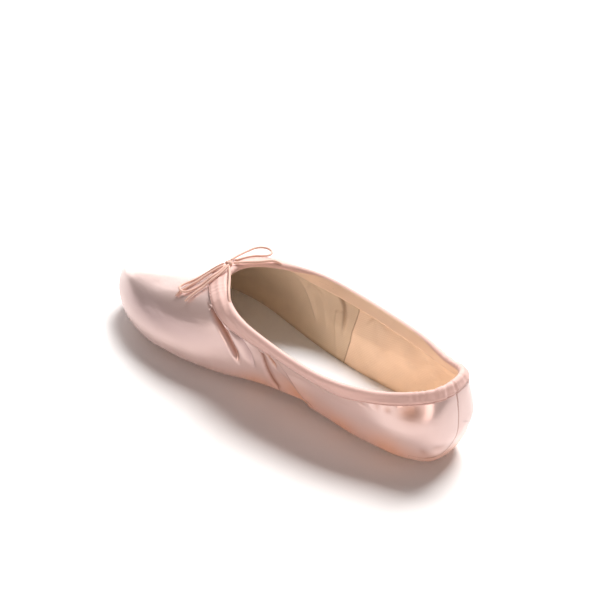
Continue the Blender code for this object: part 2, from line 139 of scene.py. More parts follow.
@dataclass(frozen=True)
class Last:
    """The last that the shoe is built on: its named sizes and its two tables, as in the part's source."""

    length: float = 0.240
    ball_width: float = 0.083
    throat_reach: float = 0.158
    collar_width: float = 0.068
    collar_height: float = 0.0464
    belly_height: float = 0.022
    shoulder_height: float = 0.022
    edge_roll: float = 0.010
    box_corner: float = 0.020
    quarter_wall: float = 0.0014
    box_wall: float = 0.0026
    sole_width: float = 0.052
    sole_thickness: float = 0.0020
    seam_lap: float = 0.005
    arch_lift: float = 0.0020
    toe_spring: float = 0.0040
    clearance: float = 0.0003
    casing_depth: float = 0.0090
    casing_heel_depth: float = 0.0052
    casing_widens: tuple = (0.16, 0.24)
    station_columns: tuple = (
        "along", "out", "collar", "roll", "belly", "corner", "shoulder", "roof", "lean",
        "sole_along", "sole_out",
    )
    stations: tuple = (
        (0.000, 0.000, 0.000, 1.00, 1.00, 0.50, 1.90, 0.0, 1.90, 0.050, 0.00),
        (0.014, 0.385, 0.070, 1.10, 1.00, 0.50, 1.90, 0.0, 1.85, 0.058, 0.33),
        (0.064, 0.560, 0.152, 1.05, 1.00, 0.50, 1.90, 0.0, 1.60, 0.095, 0.56),
        (0.170, 0.640, 0.281, 0.88, 1.00, 0.50, 1.90, 0.0, 1.35, 0.190, 0.64),
        (0.310, 0.605, 0.459, 0.72, 0.98, 0.50, 1.90, 0.0, 1.15, 0.315, 0.52),
        (0.440, 0.630, 0.635, 0.72, 0.85, 0.50, 1.90, 0.0, 1.15, 0.440, 0.50),
        (0.555, 0.800, 0.756, 0.92, 0.66, 0.65, 1.85, 0.5, 1.35, 0.545, 0.66),
        (0.650, 0.945, 0.843, 1.10, 0.54, 1.00, 1.75, 1.0, 1.70, 0.630, 0.87),
        (0.735, 1.000, 0.904, 1.15, 0.50, 1.10, 1.55, 1.0, 1.95, 0.705, 1.00),
        (0.820, 0.955, 0.940, 1.05, 0.48, 1.00, 1.35, 1.0, 2.00, 0.775, 0.98),
        (0.905, 0.780, 0.960, 0.85, 0.47, 0.80, 1.17, 1.0, 2.00, 0.838, 0.82),
        (0.965, 0.560, 0.973, 0.65, 0.46, 0.55, 1.05, 1.0, 2.00, 0.880, 0.55),
        (0.993, 0.340, 0.987, 0.48, 0.45, 0.35, 1.00, 1.0, 2.00, 0.899, 0.28),
        (1.000, 0.000, 1.000, 0.42, 0.45, 0.30, 1.00, 1.0, 2.00, 0.905, 0.00),
    )
    station_odd: tuple = ("out", "collar", "sole_out")
    collar: tuple = (
        (0.034, 0.00, 1.000),
        (0.052, 0.33, 0.983),
        (0.125, 0.55, 0.897),
        (0.260, 0.83, 0.820),
        (0.460, 1.00, 0.810),
        (0.660, 0.995, 0.863),
        (0.795, 0.90, 0.943),
        (0.885, 0.69, 1.011),
        (0.945, 0.475, 1.046),
        (0.984, 0.26, 1.057),
        (1.000, 0.00, 1.051),
    )

    def sole_lift(self, x: np.ndarray) -> np.ndarray:
        """How far the sole line is off the floor at x.

        Args:
            x: Places along the shoe.

        Returns:
            The lift at each place.
        """
        along = x / self.length + 0.5
        arch = smooth_step(0.24, 0.44, along) * (1 - smooth_step(0.44, 0.64, along))
        return self.arch_lift * arch + self.toe_spring * smooth_step(0.72, 1.0, along) ** 2

    def tape_depth(self, x: np.ndarray) -> np.ndarray:
        """How far the casing tape reaches below the collar at x."""
        more = self.casing_depth - self.casing_heel_depth
        return self.casing_heel_depth + more * smooth_step(*self.casing_widens, x / self.length + 0.5)

    def seam_height(self, x: np.ndarray) -> np.ndarray:
        """Underside of the upper at x."""
        return self.sole_thickness + self.clearance + self.sole_lift(x)

    def station_curve(self, shares: np.ndarray) -> dict:
        """Reads the station table.

        Args:
            shares: Places from 0 at the back of the heel to 1 at the platform.

        Returns:
            One array for each named column.
        """
        table = np.array(self.stations)
        knots = run_lengths(table[:, :2] * (self.length, self.ball_width / 2))
        spread = mirrored(knots, True)
        return {
            name: smooth_curve(spread, mirrored(table[:, i], name in self.station_odd), shares * knots[-1])
            for i, name in enumerate(self.station_columns)
        }

    def collar_line(self, shares: np.ndarray) -> np.ndarray:
        """Points of the collar at these shares of the way from the heel to the throat.

        Args:
            shares: Places from 0 at the heel to 1 at the throat.

        Returns:
            One point for each share.
        """
        table = np.array(self.collar)
        sizes = (self.throat_reach, self.collar_width / 2, self.collar_height)
        knots = run_lengths(table * sizes)
        spread = mirrored(knots, True)
        along, out, up = (
            smooth_curve(spread, mirrored(table[:, i], i == 1), shares * knots[-1]) for i in range(3)
        )
        x = along * self.throat_reach - self.length / 2
        y, z = out * self.collar_width / 2, self.seam_height(x) + up * self.collar_height
        return np.column_stack([x, y, z])

    def wall_at(self, share: np.ndarray) -> np.ndarray:
        """Thickness of the wall, from the quarters at share 0 to the box at share 1."""
        return self.quarter_wall + (self.box_wall - self.quarter_wall) * share

    def inward(self, outline: np.ndarray) -> np.ndarray:
        """Unit vectors across a half outline that runs from heel to toe on the left, pointing inwards.

        Args:
            outline: Points of the outline in plan.

        Returns:
            One vector for each point.
        """
        mirror = np.array([1, -1])
        around = np.vstack([outline[1] * mirror, outline, outline[-2] * mirror])
        run = unit(around[2:] - around[:-2])
        return np.column_stack([run[:, 1], -run[:, 0]])

    def outlines(self, stations: dict) -> tuple:
        """Plan outlines of the left half: the widest line, the sole seam and the outsole's edge.

        Args:
            stations: The station table's columns, read at the shares.

        Returns:
            The three outlines.
        """
        widest = np.column_stack(
            [(stations["along"] - 0.5) * self.length, stations["out"] * self.ball_width / 2]
        )
        seam = widest + self.inward(widest) * (stations["roll"] * self.edge_roll)[:, None]
        sole = np.column_stack(
            [(stations["sole_along"] - 0.5) * self.length, stations["sole_out"] * self.sole_width / 2]
        )
        return widest, seam, sole

    def outer_half(self, shares: np.ndarray, under: int, roll: int, wall: int) -> np.ndarray:
        """The left half of the upper's outer face.

        Args:
            shares: Places of the columns, from heel to toe.
            under: Rows under the foot.
            roll: Rows round the lower edge.
            wall: Rows from the widest line to the collar.

        Returns:
            Rows of points from under the sole up to the collar.
        """
        stations = self.station_curve(shares)
        widest, seam, sole = self.outlines(stations)
        inner_edge = sole + self.inward(sole) * self.seam_lap
        inner_edge[[0, -1], 1] = 0.0
        collar = self.collar_line(stations["collar"])
        base = self.seam_height(widest[:, 0])
        belly = base + stations["belly"] * self.belly_height
        rows = []
        for share in np.linspace(0, 1, under, endpoint=False):
            plan = inner_edge + (seam - inner_edge) * share
            rows.append(np.column_stack([plan, self.seam_height(plan[:, 0])]))
        seam_z = self.seam_height(seam[:, 0])
        for turn in np.linspace(0, math.pi / 2, roll, endpoint=False):
            plan = seam + (widest - seam) * math.sin(turn)
            rows.append(np.column_stack([plan, belly - (belly - seam_z) * math.cos(turn)]))
        reach = np.linalg.norm(collar[:, :2] - widest, axis=1)
        corner = np.minimum(stations["corner"] * self.box_corner, np.maximum(reach, self.clearance))
        shoulder = base + stations["shoulder"] * self.shoulder_height
        roofed = np.clip(stations["roof"], 0, 1)[:, None]
        for rise in np.linspace(0, 1, wall):
            run = rise ** stations["lean"]
            plan = widest + (collar[:, :2] - widest) * run[:, None]
            plain = np.column_stack([plan, belly + (collar[:, 2] - belly) * rise])
            turned = 1 - np.clip(run * reach / corner, 0, 1)
            roof = shoulder + (collar[:, 2] - shoulder) * run**0.85
            vamp = np.column_stack([plan, belly + (roof - belly) * np.sqrt(1 - turned**2.5)])
            rows.append(plain * (1 - roofed) + vamp * roofed)
        rows = np.array(rows)
        rows[:, [0, -1], 1] = 0.0
        return rows


def around(half: np.ndarray) -> np.ndarray:
    """Rows of a left half carried on round the right side, back to the first column."""
    other = half[:, -2::-1] * (1, -1, 1)
    return np.concatenate([half, other], axis=1)


def read_along(places: np.ndarray, marks: np.ndarray, rows: np.ndarray) -> np.ndarray:
    """Rows read between their marks, at these places along them."""
    return np.column_stack([np.interp(places, marks, column) for column in rows.T])


def gather_wave(rim: np.ndarray, fine: float) -> np.ndarray:
    """Uneven small waves along the rim, as a drawn cord makes them; fine is the rate of the smallest."""
    return np.sin(rim * 1450 + 2.2 * np.sin(rim * 310)) + 0.6 * np.sin(rim * fine + 1.0)


# Mesh helpers


def deselect() -> None:
    """Nothing stays selected or in edit mode."""
    if bpy.context.object and bpy.context.object.mode != "OBJECT":
        bpy.ops.object.mode_set(mode="OBJECT")
    bpy.ops.object.select_all(action="DESELECT")


def face_outwards() -> None:
    """Turns the selected faces outwards."""
    bpy.ops.mesh.normals_make_consistent(inside=False)


def edited(*steps: Callable) -> None:
    """Takes the active piece through steps in edit mode, with all of it selected before each.

    Args:
        *steps: Functions that run one operator each.
    """
    bpy.ops.object.mode_set(mode="EDIT")
    for step in steps:
        bpy.ops.mesh.select_all(action="SELECT")
        step()
    bpy.ops.object.mode_set(mode="OBJECT")


def named(name: str) -> bpy.types.Object:
    """The primitive that was just added, with the piece's name.

    Args:
        name: The new piece's name.

    Returns:
        The object.
    """
    piece = bpy.context.object
    piece.name = piece.data.name = name
    return piece

def wrapped_grid(
    name: str, points: np.ndarray, values: dict | None = None, across: int = 0
) -> bpy.types.Object:
    """Wraps a primitive grid over rows of points and welds what meets.

    Args:
        name: The new piece's name.
        points: Rows and columns of points.
        values: Float attributes by name, each with one number per point.
        across: The row whose length gives the UV map's U, in metres.

    Returns:
        The piece, smooth, with its faces pointing outwards and a UV map in metres.
    """
    rows, columns = points.shape[:2]
    deselect()
    bpy.ops.mesh.primitive_grid_add(x_subdivisions=columns - 1, y_subdivisions=rows - 1, size=2)
    piece = named(name)
    mesh = piece.data
    flat = np.empty(len(mesh.vertices) * 3)
    mesh.vertices.foreach_get("co", flat)
    place = (flat.reshape(-1, 3)[:, :2] + 1) / 2
    i = np.rint(place[:, 1] * (rows - 1)).astype(int)
    j = np.rint(place[:, 0] * (columns - 1)).astype(int)
    mesh.vertices.foreach_set("co", points[i, j].astype(np.float32).ravel())
    for label, numbers in (values or {}).items():
        layer = mesh.attributes.new(label, "FLOAT", "POINT")
        layer.data.foreach_set("value", numbers[i, j].astype(np.float32))
    layer = mesh.uv_layers.active.data
    map_uv = np.empty(len(layer) * 2)
    layer.foreach_get("uv", map_uv)
    map_uv = map_uv.reshape(-1, 2)
    u = run_lengths(points[across])[np.rint(map_uv[:, 0] * (columns - 1)).astype(int)]
    v = run_lengths(points[:, columns // 4])[np.rint(map_uv[:, 1] * (rows - 1)).astype(int)]
    layer.foreach_set("uv", np.column_stack([u, v]).ravel())
    mesh.update()
    edited(lambda: bpy.ops.mesh.remove_doubles(threshold=WELD), face_outwards)
    bpy.ops.object.shade_smooth()
    deselect()
    return piece


def settle(piece: bpy.types.Object, slot: str, *looks: bpy.types.Material, node: str = "") -> None:
    """Gives a finished piece its materials and its place in the frame, and logs it.

    Args:
        piece: The piece.
        slot: The record's material slot; not used.
        *looks: The piece's materials, in order.
        node: The CAD node that it stands for, if there is one.
    """
    for look in looks:
        piece.data.materials.append(look)
    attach(piece, BODY)
    if node:
        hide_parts(node)
    LOG.info("%s: %d faces", piece.name, len(piece.data.polygons))


# Finishes


def new_group(name: str, inputs: dict, outputs: tuple) -> tuple:
    """Starts a shader node group.

    Args:
        name: The group's name.
        inputs: Default of each input; None makes a vector input.
        outputs: Names of the float outputs.

    Returns:
        The group's tree, its input node and its output node.
    """
    tree = bpy.data.node_groups.new(name, "ShaderNodeTree")
    for label, default in inputs.items():
        kind = "NodeSocketVector" if default is None else "NodeSocketFloat"
        socket = tree.interface.new_socket(label, in_out="INPUT", socket_type=kind)
        if default is not None:
            socket.default_value = default
    for label in outputs:
        tree.interface.new_socket(label, in_out="OUTPUT", socket_type="NodeSocketFloat")
    return tree, tree.nodes.new("NodeGroupInput"), tree.nodes.new("NodeGroupOutput")


class Nodes:
    """A short way to place and join nodes in one tree."""

    def __init__(self, tree: bpy.types.NodeTree) -> None:
        """Keeps the tree."""
        self.tree = tree

    def feed(self, socket: bpy.types.NodeSocket, value: object) -> None:
        """Joins an output to a socket, or sets the socket to a plain value.

        Args:
            socket: The input.
            value: The output or the value.
        """
        if isinstance(value, bpy.types.NodeSocket):
            self.tree.links.new(value, socket)
        else:
            socket.default_value = value

    def add(self, kind: str, settings: dict | None = None, **inputs: object) -> bpy.types.Node:
        """Places a node.

        Args:
            kind: The node's type, without its leading "ShaderNode".
            settings: Properties of the node.
            **inputs: Values or outputs for its inputs; i0, i1 and so on name them by place.

        Returns:
            The node.
        """
        node = self.tree.nodes.new("ShaderNode" + kind)
        for key, value in (settings or {}).items():
            setattr(node, key, value)
        for key, value in inputs.items():
            place = int(key[1:]) if key[0] == "i" and key[1:].isdigit() else key.replace("_", " ")
            self.feed(node.inputs[place], value)
        return node

    def math(self, operation: str, first: object, second: object = 0.0, third: object = 0.0) -> object:
        """The result of a Math node."""
        return self.add("Math", {"operation": operation}, i0=first, i1=second, i2=third).outputs[0]

    def mix(self, share: object, first: object, second: object) -> object:
        """One colour passed into another by a share."""
        node = self.add("Mix", {"data_type": "RGBA"}, i0=share, i6=first, i7=second)
        return node.outputs[2]

    def band(self, value: object, low: float, high: float, start: float, end: float) -> object:
        """A value carried softly from one range to another.

        Args:
            value: The value.
            low: Where the range starts.
            high: Where it ends.
            start: The result at its start.
            end: The result at its end.

        Returns:
            The result.
        """
        node = self.add("MapRange", {"interpolation_type": "SMOOTHSTEP"}, i0=value, i1=low, i2=high)
        node.inputs[3].default_value, node.inputs[4].default_value = start, end
        return node.outputs[0]

    def attribute(self, name: str) -> object:
        """A float attribute of the piece."""
        return self.add("Attribute", {"attribute_name": name}).outputs["Fac"]

    def uv(self) -> object:
        """The piece's UV map, in metres."""
        return self.add("TexCoord").outputs["UV"]

    def place(self) -> object:
        """The point's place in the shoe's own axes."""
        return self.add("TexCoord").outputs["Object"]


def weave_group() -> bpy.types.NodeTree:
    """Threads that cross over and under: height from 0 to 1.

    Returns:
        The group.
    """
    tree, inside, outside = new_group("weave", {"Vector": None, "Threads": 1500.0, "Slub": 0.3}, ("Height",))
    n = Nodes(tree)
    split = n.add("SeparateXYZ", i0=inside.outputs["Vector"]).outputs
    threads = n.math("MULTIPLY", inside.outputs["Threads"], math.pi)
    across = n.math("SINE", n.math("MULTIPLY", split[0], threads))
    upwards = n.math("SINE", n.math("MULTIPLY", split[1], threads))
    crossing = n.math("MULTIPLY", across, upwards)
    rough = n.add("TexNoise", Vector=inside.outputs["Vector"], Scale=900.0, Detail=2.0).outputs["Fac"]
    slub = n.math("MULTIPLY", n.math("SUBTRACT", rough, 0.5), inside.outputs["Slub"])
    height = n.math("ADD", n.math("MULTIPLY_ADD", crossing, 0.5, 0.5), slub)
    n.feed(outside.inputs["Height"], height)
    return tree


def mottle_group() -> bpy.types.NodeTree:
    """Soft uneven patches around 0, for colour.

    Returns:
        The group.
    """
    tree, inside, outside = new_group("mottle", {"Vector": None, "Scale": 60.0, "Amount": 0.1}, ("Value",))
    n = Nodes(tree)
    large = n.add("TexNoise", Vector=inside.outputs["Vector"], Scale=inside.outputs["Scale"], Detail=3.0)
    value = n.math("MULTIPLY", n.math("SUBTRACT", large.outputs["Fac"], 0.5), inside.outputs["Amount"])
    n.feed(outside.inputs["Value"], value)
    return tree


def line_group() -> bpy.types.NodeTree:
    """1 on a line, falling to 0 at its width, from a signed distance in metres.

    Returns:
        The group.
    """
    tree, inside, outside = new_group("line", {"Distance": 0.0, "Width": 0.0005}, ("Mask",))
    n = Nodes(tree)
    off = n.math("DIVIDE", n.math("ABSOLUTE", inside.outputs["Distance"]), inside.outputs["Width"])
    n.feed(outside.inputs["Mask"], n.band(off, 0.0, 1.0, 1.0, 0.0))
    return tree


class Effects:
    """The node groups that several finishes share."""

    def __init__(self) -> None:
        """Builds each group once."""
        self.weave = weave_group()
        self.mottle = mottle_group()
        self.line = line_group()

    def use(self, n: Nodes, tree: bpy.types.NodeTree, **inputs: object) -> object:
        """Puts a group into a material and gives its output."""
        return n.add("Group", {"node_tree": tree}, **inputs).outputs[0]


@dataclass(frozen=True)
class Finish:
    """A woven or leather finish and how it takes light."""

    name: str
    colour: tuple
    roughness: float
    sheen: float = 0.0
    threads: float = 1500.0
    relief: float = 0.00004
    mottle: float = 0.12
    anisotropy: float = 0.0
    metallic: float = 0.0
    sheen_roughness: float = 0.35

    def start(self) -> tuple:
        """Makes the material.

        Returns:
            The material, its node helper and its Principled BSDF.
        """
        made = bpy.data.materials.new(self.name)
        made.use_nodes = True
        shader = made.node_tree.nodes["Principled BSDF"]
        shader.inputs["Roughness"].default_value = self.roughness
        shader.inputs["Sheen Weight"].default_value = self.sheen
        shader.inputs["Sheen Roughness"].default_value = self.sheen_roughness
        shader.inputs["Anisotropic"].default_value = self.anisotropy
        shader.inputs["Metallic"].default_value = self.metallic
        return made, Nodes(made.node_tree), shader

    def shaded(self, n: Nodes, effects: Effects, vector: object, colour: object) -> object:
        """Varies a colour softly over the surface.

        Args:
            n: The material's node helper.
            effects: The shared node groups.
            vector: Coordinates of the pattern.
            colour: The plain colour.

        Returns:
            The varied colour.
        """
        value = effects.use(n, effects.mottle, Vector=vector, Scale=70.0, Amount=self.mottle)
        blend = {"data_type": "RGBA", "blend_type": "MULTIPLY"}
        return n.add("Mix", blend, i0=1.0, i6=colour, i7=n.math("ADD", value, 1.0)).outputs[2]

    def bump(self, n: Nodes, shader: bpy.types.Node, height: object, metres: float) -> None:
        """Feeds a height from 0 to 1 to the shader's normal."""
        node = n.add("Bump", Strength=1.0, Distance=metres, Height=height)
        n.feed(shader.inputs["Normal"], node.outputs[0])


SATIN = Finish("satin", (0.82, 0.625, 0.585, 1), 0.27, 0.2, 2600.0, 0.00003, 0.06, 0.4, 0.35)
LINING = Finish("canvas_lining", (0.93, 0.72, 0.55, 1), 0.85, 0.15, 1300.0, 0.00006, 0.16)
TAPE = Finish("casing_tape", (0.70, 0.46, 0.41, 1), 0.62, 0.3, 1900.0, 0.00006, 0.16)
THREAD = Finish("stitch_thread", (0.60, 0.34, 0.29, 1), 0.5, 0.2, 1500.0, 0.00002, 0.1)
SOCK = Finish("sock_lining", (0.93, 0.94, 0.97, 1), 0.85, 0.15, 1500.0, 0.00005, 0.08)
LEATHER = Finish("sole_leather", (0.46, 0.31, 0.20, 1), 0.68, 0.0, 0.0, 0.00008, 0.3)
CORD = Finish("drawstring_cord", (0.70, 0.46, 0.38, 1), 0.8, 0.1, 0.0, 0.00002, 0.10)
FRONT_CANVAS = (0.72, 0.58, 0.44, 1)
INNER_TAPE = (0.86, 0.64, 0.48, 1)
SATIN_TINTS = {  # share that the upper's mesh carries, and the colour that it brings in; all are painted light: a peach bounce glow low down, brown and grey painted shade in folds, dents and on the box side, and a painted shade streak at the heel
    "low": (1.0, 0.52, 0.32, 1),
    "fold": (0.46, 0.215, 0.125, 1),
    "shade": (0.36, 0.25, 0.26, 1),
    "heel_shade_streak": (0.36, 0.30, 0.31, 1),
}
# Seam colour; on the side it also draws a painted shade line along the hollow's edge.
SATIN_SEAM_AND_SHADE_LINE = (0.30, 0.13, 0.09, 1)
# Lining seam colour, also used for painted shade in the lining's creases.
LINING_SEAM_AND_CREASE_SHADE = (0.26, 0.15, 0.09, 1)
TAPE_SEAM = (0.34, 0.15, 0.12, 1)


def satin(effects: Effects) -> bpy.types.Material:
    """Pale pink satin: fine threads, soft gloss, thin dark seams with a painted shade line along a hollow's
    edge, brown and grey painted shade in the folds and a peach painted bounce glow low down.

    Args:
        effects: The shared node groups.

    Returns:
        The material.
    """
    made, n, shader = SATIN.start()
    uv, place = n.uv(), n.place()
    colour = SATIN.colour
    # Painted light: the tints bring in a peach bounce glow low down, and brown and grey painted shade in
    # folds, dents, the box side and a heel streak.
    for name, tint in SATIN_TINTS.items():
        colour = n.mix(n.attribute(name), colour, tint)
    # Dark seam lines; the side one also draws a painted shade line along the hollow's edge.
    back = effects.use(n, effects.line, Distance=n.attribute("back_seam"), Width=0.00085)
    side = effects.use(n, effects.line, Distance=n.attribute("side_seam_and_shade_line"), Width=0.00065)
    seams = n.math("MAXIMUM", back, n.math("MULTIPLY", side, 0.8))
    colour = n.mix(n.math("MULTIPLY", seams, 0.75), colour, SATIN_SEAM_AND_SHADE_LINE)
    n.feed(shader.inputs["Base Color"], SATIN.shaded(n, effects, place, colour))
    weave = effects.use(n, effects.weave, Vector=uv, Threads=SATIN.threads, Slub=0.6)
    fibres = n.add("Mapping", Vector=uv, Scale=(90.0, 1400.0, 1.0)).outputs[0]
    streak = n.add("TexNoise", Vector=fibres, Scale=1.0, Detail=2.0).outputs["Fac"]
    height = n.math("ADD", n.math("MULTIPLY", weave, 0.2), n.math("MULTIPLY", streak, 0.8))
    stretched = n.add("Mapping", Vector=place, Scale=(60.0, 60.0, 130.0)).outputs[0]
    waves = n.add("TexNoise", Vector=stretched, Scale=1.0, Detail=2.0).outputs["Fac"]
    height = n.math("ADD", height, n.math("MULTIPLY", waves, 9.0))
    height = n.math("SUBTRACT", height, n.math("MULTIPLY", seams, 5.0))
    SATIN.bump(n, shader, height, SATIN.relief)
    return made


def lining(effects: Effects) -> bpy.types.Material:
    """Canvas lining, greyer in the front and peach in the quarters, with the seam between them and painted
    shade in its creases.

    Args:
        effects: The shared node groups.

    Returns:
        The material.
    """
    made, n, shader = LINING.start()
    uv, place = n.uv(), n.place()
    seam = n.attribute("lining_seam")
    front = n.band(seam, -0.0003, 0.0003, 0.0, 1.0)
    colour = n.mix(front, LINING.colour, FRONT_CANVAS)
    line = effects.use(n, effects.line, Distance=seam, Width=0.0006)
    # The seam's line, and brown painted shade in the lining's creases.
    marks = n.math("MAXIMUM", n.math("MULTIPLY", line, 0.6), n.attribute("fold"))
    colour = n.mix(marks, colour, LINING_SEAM_AND_CREASE_SHADE)
    n.feed(shader.inputs["Base Color"], LINING.shaded(n, effects, place, colour))
    weave = effects.use(n, effects.weave, Vector=uv, Threads=LINING.threads, Slub=0.8)
    LINING.bump(n, shader, n.math("SUBTRACT", weave, n.math("MULTIPLY", line, 4.0)), LINING.relief)
    return made


def plain_cloth(effects: Effects, finish: Finish) -> bpy.types.Material:
    """A woven finish in one colour, such as thread or the sock.

    Args:
        effects: The shared node groups.
        finish: The finish.

    Returns:
        The material.
    """
    made, n, shader = finish.start()
    n.feed(shader.inputs["Base Color"], finish.shaded(n, effects, n.place(), finish.colour))
    weave = effects.use(n, effects.weave, Vector=n.uv(), Threads=finish.threads, Slub=0.7)
    finish.bump(n, shader, weave, finish.relief)
    return made


def tape(effects: Effects) -> bpy.types.Material:
    """Matt pink casing tape, ribbed across, darker along its stitches and peach inside the shoe.

    Args:
        effects: The shared node groups.

    Returns:
        The material.
    """
    made, n, shader = TAPE.start()
    uv, place = n.uv(), n.place()
    colour = n.mix(n.attribute("inside"), TAPE.colour, INNER_TAPE)
    line = effects.use(n, effects.line, Distance=n.attribute("stitch_line"), Width=0.0007)
    colour = n.mix(n.math("MULTIPLY", line, 0.55), colour, TAPE_SEAM)
    n.feed(shader.inputs["Base Color"], TAPE.shaded(n, effects, place, colour))
    weave = effects.use(n, effects.weave, Vector=uv, Threads=TAPE.threads, Slub=0.8)
    ribs = n.add("Mapping", Vector=uv, Scale=(1500.0, 90.0, 1.0)).outputs[0]
    rib = n.add("TexNoise", Vector=ribs, Scale=1.0, Detail=2.0).outputs["Fac"]
    height = n.math("ADD", weave, n.math("MULTIPLY", rib, 1.2))
    TAPE.bump(n, shader, n.math("SUBTRACT", height, n.math("MULTIPLY", line, 2.0)), TAPE.relief)
    return made


def leather(effects: Effects) -> bpy.types.Material:
    """Tan sole leather with a fine grain.

    Args:
        effects: The shared node groups.

    Returns:
        The material.
    """
    made, n, shader = LEATHER.start()
    place = n.place()
    n.feed(shader.inputs["Base Color"], LEATHER.shaded(n, effects, place, LEATHER.colour))
    grain = n.add("TexVoronoi", {"feature": "F1"}, Vector=place, Scale=1400.0).outputs["Distance"]
    LEATHER.bump(n, shader, grain, LEATHER.relief)
    return made


def cord_finish(effects: Effects) -> bpy.types.Material:
    """Peach braided cord: a slanted braid round the tube.

    Args:
        effects: The shared node groups.

    Returns:
        The material.
    """
    made, n, shader = CORD.start()
    n.feed(shader.inputs["Base Color"], CORD.shaded(n, effects, n.place(), CORD.colour))
    split = n.add("SeparateXYZ", i0=n.uv()).outputs
    turn = n.math("MULTIPLY", split[1], 3000.0)
    run = n.math("MULTIPLY", split[0], 3600.0)
    left = n.math("SINE", n.math("ADD", run, turn))
    right = n.math("SINE", n.math("SUBTRACT", run, turn))
    CORD.bump(n, shader, n.math("MAXIMUM", left, right), CORD.relief)
    return made


def floor_finish() -> bpy.types.Material:
    """Plain white studio paper.

    Returns:
        The material.
    """
    made = bpy.data.materials.new("floor_paper")
    made.use_nodes = True
    shader = made.node_tree.nodes["Principled BSDF"]
    shader.inputs["Base Color"].default_value = (0.93, 0.915, 0.91, 1)
    shader.inputs["Roughness"].default_value = 0.7
    shader.inputs["Specular IOR Level"].default_value = 0.2
    return made


# Folds


def mm(*rows: tuple) -> tuple:
    """Places written in millimetres, given in metres."""
    return tuple(tuple(round(value * MILLIMETRE, 7) for value in row) for row in rows)



def nearest(places: tuple, x: np.ndarray, z: np.ndarray) -> tuple:
    """The smooth line through some places, seen from points of the same plane.

    Args:
        places: Pairs of coordinates along the line.
        x: First coordinate of each point.
        z: Second coordinate of each point.

    Returns:
        Distance to the line, which side of it each point is on, and the share of the line passed there.
    """
    line = np.array(places)
    marks = run_lengths(line)
    fine = np.linspace(0, marks[-1], 70)
    curve = np.column_stack([smooth_curve(marks, line[:, k], fine) for k in range(2)])
    run = unit(np.gradient(curve, axis=0))
    best = np.full(x.shape, 1e9)
    side, share = np.zeros(x.shape), np.zeros(x.shape)
    for k in range(len(fine)):
        off_x, off_z = x - curve[k, 0], z - curve[k, 1]
        away = np.hypot(off_x, off_z)
        near = away < best
        best = np.where(near, away, best)
        share = np.where(near, fine[k] / marks[-1], share)
        side = np.where(near, run[k, 0] * off_z - run[k, 1] * off_x, side)
    return best, side, share


def signed_distance(places: tuple, x: np.ndarray, z: np.ndarray) -> np.ndarray:
    """Distance to the smooth line through some places, negative on one side of it."""
    best, side, _ = nearest(places, x, z)
    return np.copysign(best, side)


@dataclass(frozen=True)
class Fold:
    """A trough or ridge along a line on one side of the shoe.

    Its places are x and z in metres, from the collar down, and its two flanks may differ in width. Its brown
    and grey shares are painted shade laid into the colour along the fold.
    """

    places: tuple
    rise: float
    toe_width: float
    heel_width: float
    brown_painted_share: float = 0.0
    shade: float = 0.0
    sharp: float = 0.0
    start: float = 0.15
    end: float = 0.25

    def cast(self, x: np.ndarray, z: np.ndarray) -> np.ndarray:
        """The fold at points of that side.

        Args:
            x: Places along the shoe.
            z: Heights.

        Returns:
            Its height, and the shares of its brown and its grey painted shade.
        """
        best, side, share = nearest(self.places, x, z)
        ends = smooth_step(0, self.start, share) * smooth_step(0, self.end, 1 - share)
        width = np.where(side > 0, self.toe_width, self.heel_width) * (0.5 + 0.5 * ends)
        q = best / width
        shape = (1 - self.sharp) * np.exp(-(q**2)) + self.sharp * np.exp(-1.6 * q)
        tint = ends * np.exp(-((1.1 * q) ** 3))
        return np.array([ends * self.rise * shape, self.brown_painted_share * tint, self.shade * tint])


HOLLOW_EDGE = mm((-9.4, 33.0), (-9.9, 30.8), (-10.8, 24.7), (-12.1, 19.0), (-13.8, 13.0), (-17.0, 6.5))
SIDE_SEAM = mm(
    (-20.5, 40.0), (-22.4, 35.6), (-24.6, 29.6), (-27.6, 23.4), (-31.1, 18.9), (-34.3, 14.0), (-39.2, 8.5)
)
SLIT = mm(
    (31.2, 46.6), (29.0, 45.3), (25.2, 44.2), (21.5, 42.2), (18.0, 39.2),
    (15.2, 36.0), (9.8, 28.5), (6.2, 21.2), (4.4, 16.5),
)
SLIT_FOOT = tuple((x + 0.0006, z + 0.0004) for x, z in SLIT)
SLIT_RIDGE = mm((28.5, 47.6), (23.2, 45.6), (17.8, 42.4), (12.2, 37.8), (8.8, 33.0))
TAPE_DIP = mm((33.0, 48.5), (27.0, 48.0), (21.0, 46.9), (14.2, 44.6), (9.0, 41.6))
SECOND_TROUGH = mm((14.0, 41.8), (6.4, 38.3), (1.2, 33.9), (-2.0, 28.2), (-3.6, 21.8), (-6.2, 15.0))
TROUGH_RIDGE = mm((5.0, 39.2), (-0.8, 34.5), (-4.2, 28.8), (-6.0, 23.0), (-8.2, 18.0))
HOLLOW_RIDGE = mm((-8.0, 32.0), (-8.6, 24.7), (-9.9, 19.0), (-11.6, 13.0), (-15.0, 6.5))
WEDGE = mm((-13.2, 33.8), (-14.8, 30.6), (-16.3, 27.6), (-17.6, 24.0), (-18.3, 21.5))
HOLLOW = mm((-15.0, 25.0), (-19.5, 19.5), (-25.0, 14.0), (-32.0, 8.0), (-38.0, 5.0))
BACK_SEAM = mm((0.6, 50.0), (1.3, 37.9), (1.6, 29.4), (2.9, 17.2), (5.6, 12.4), (10.0, 10.0), (15.0, 8.8))
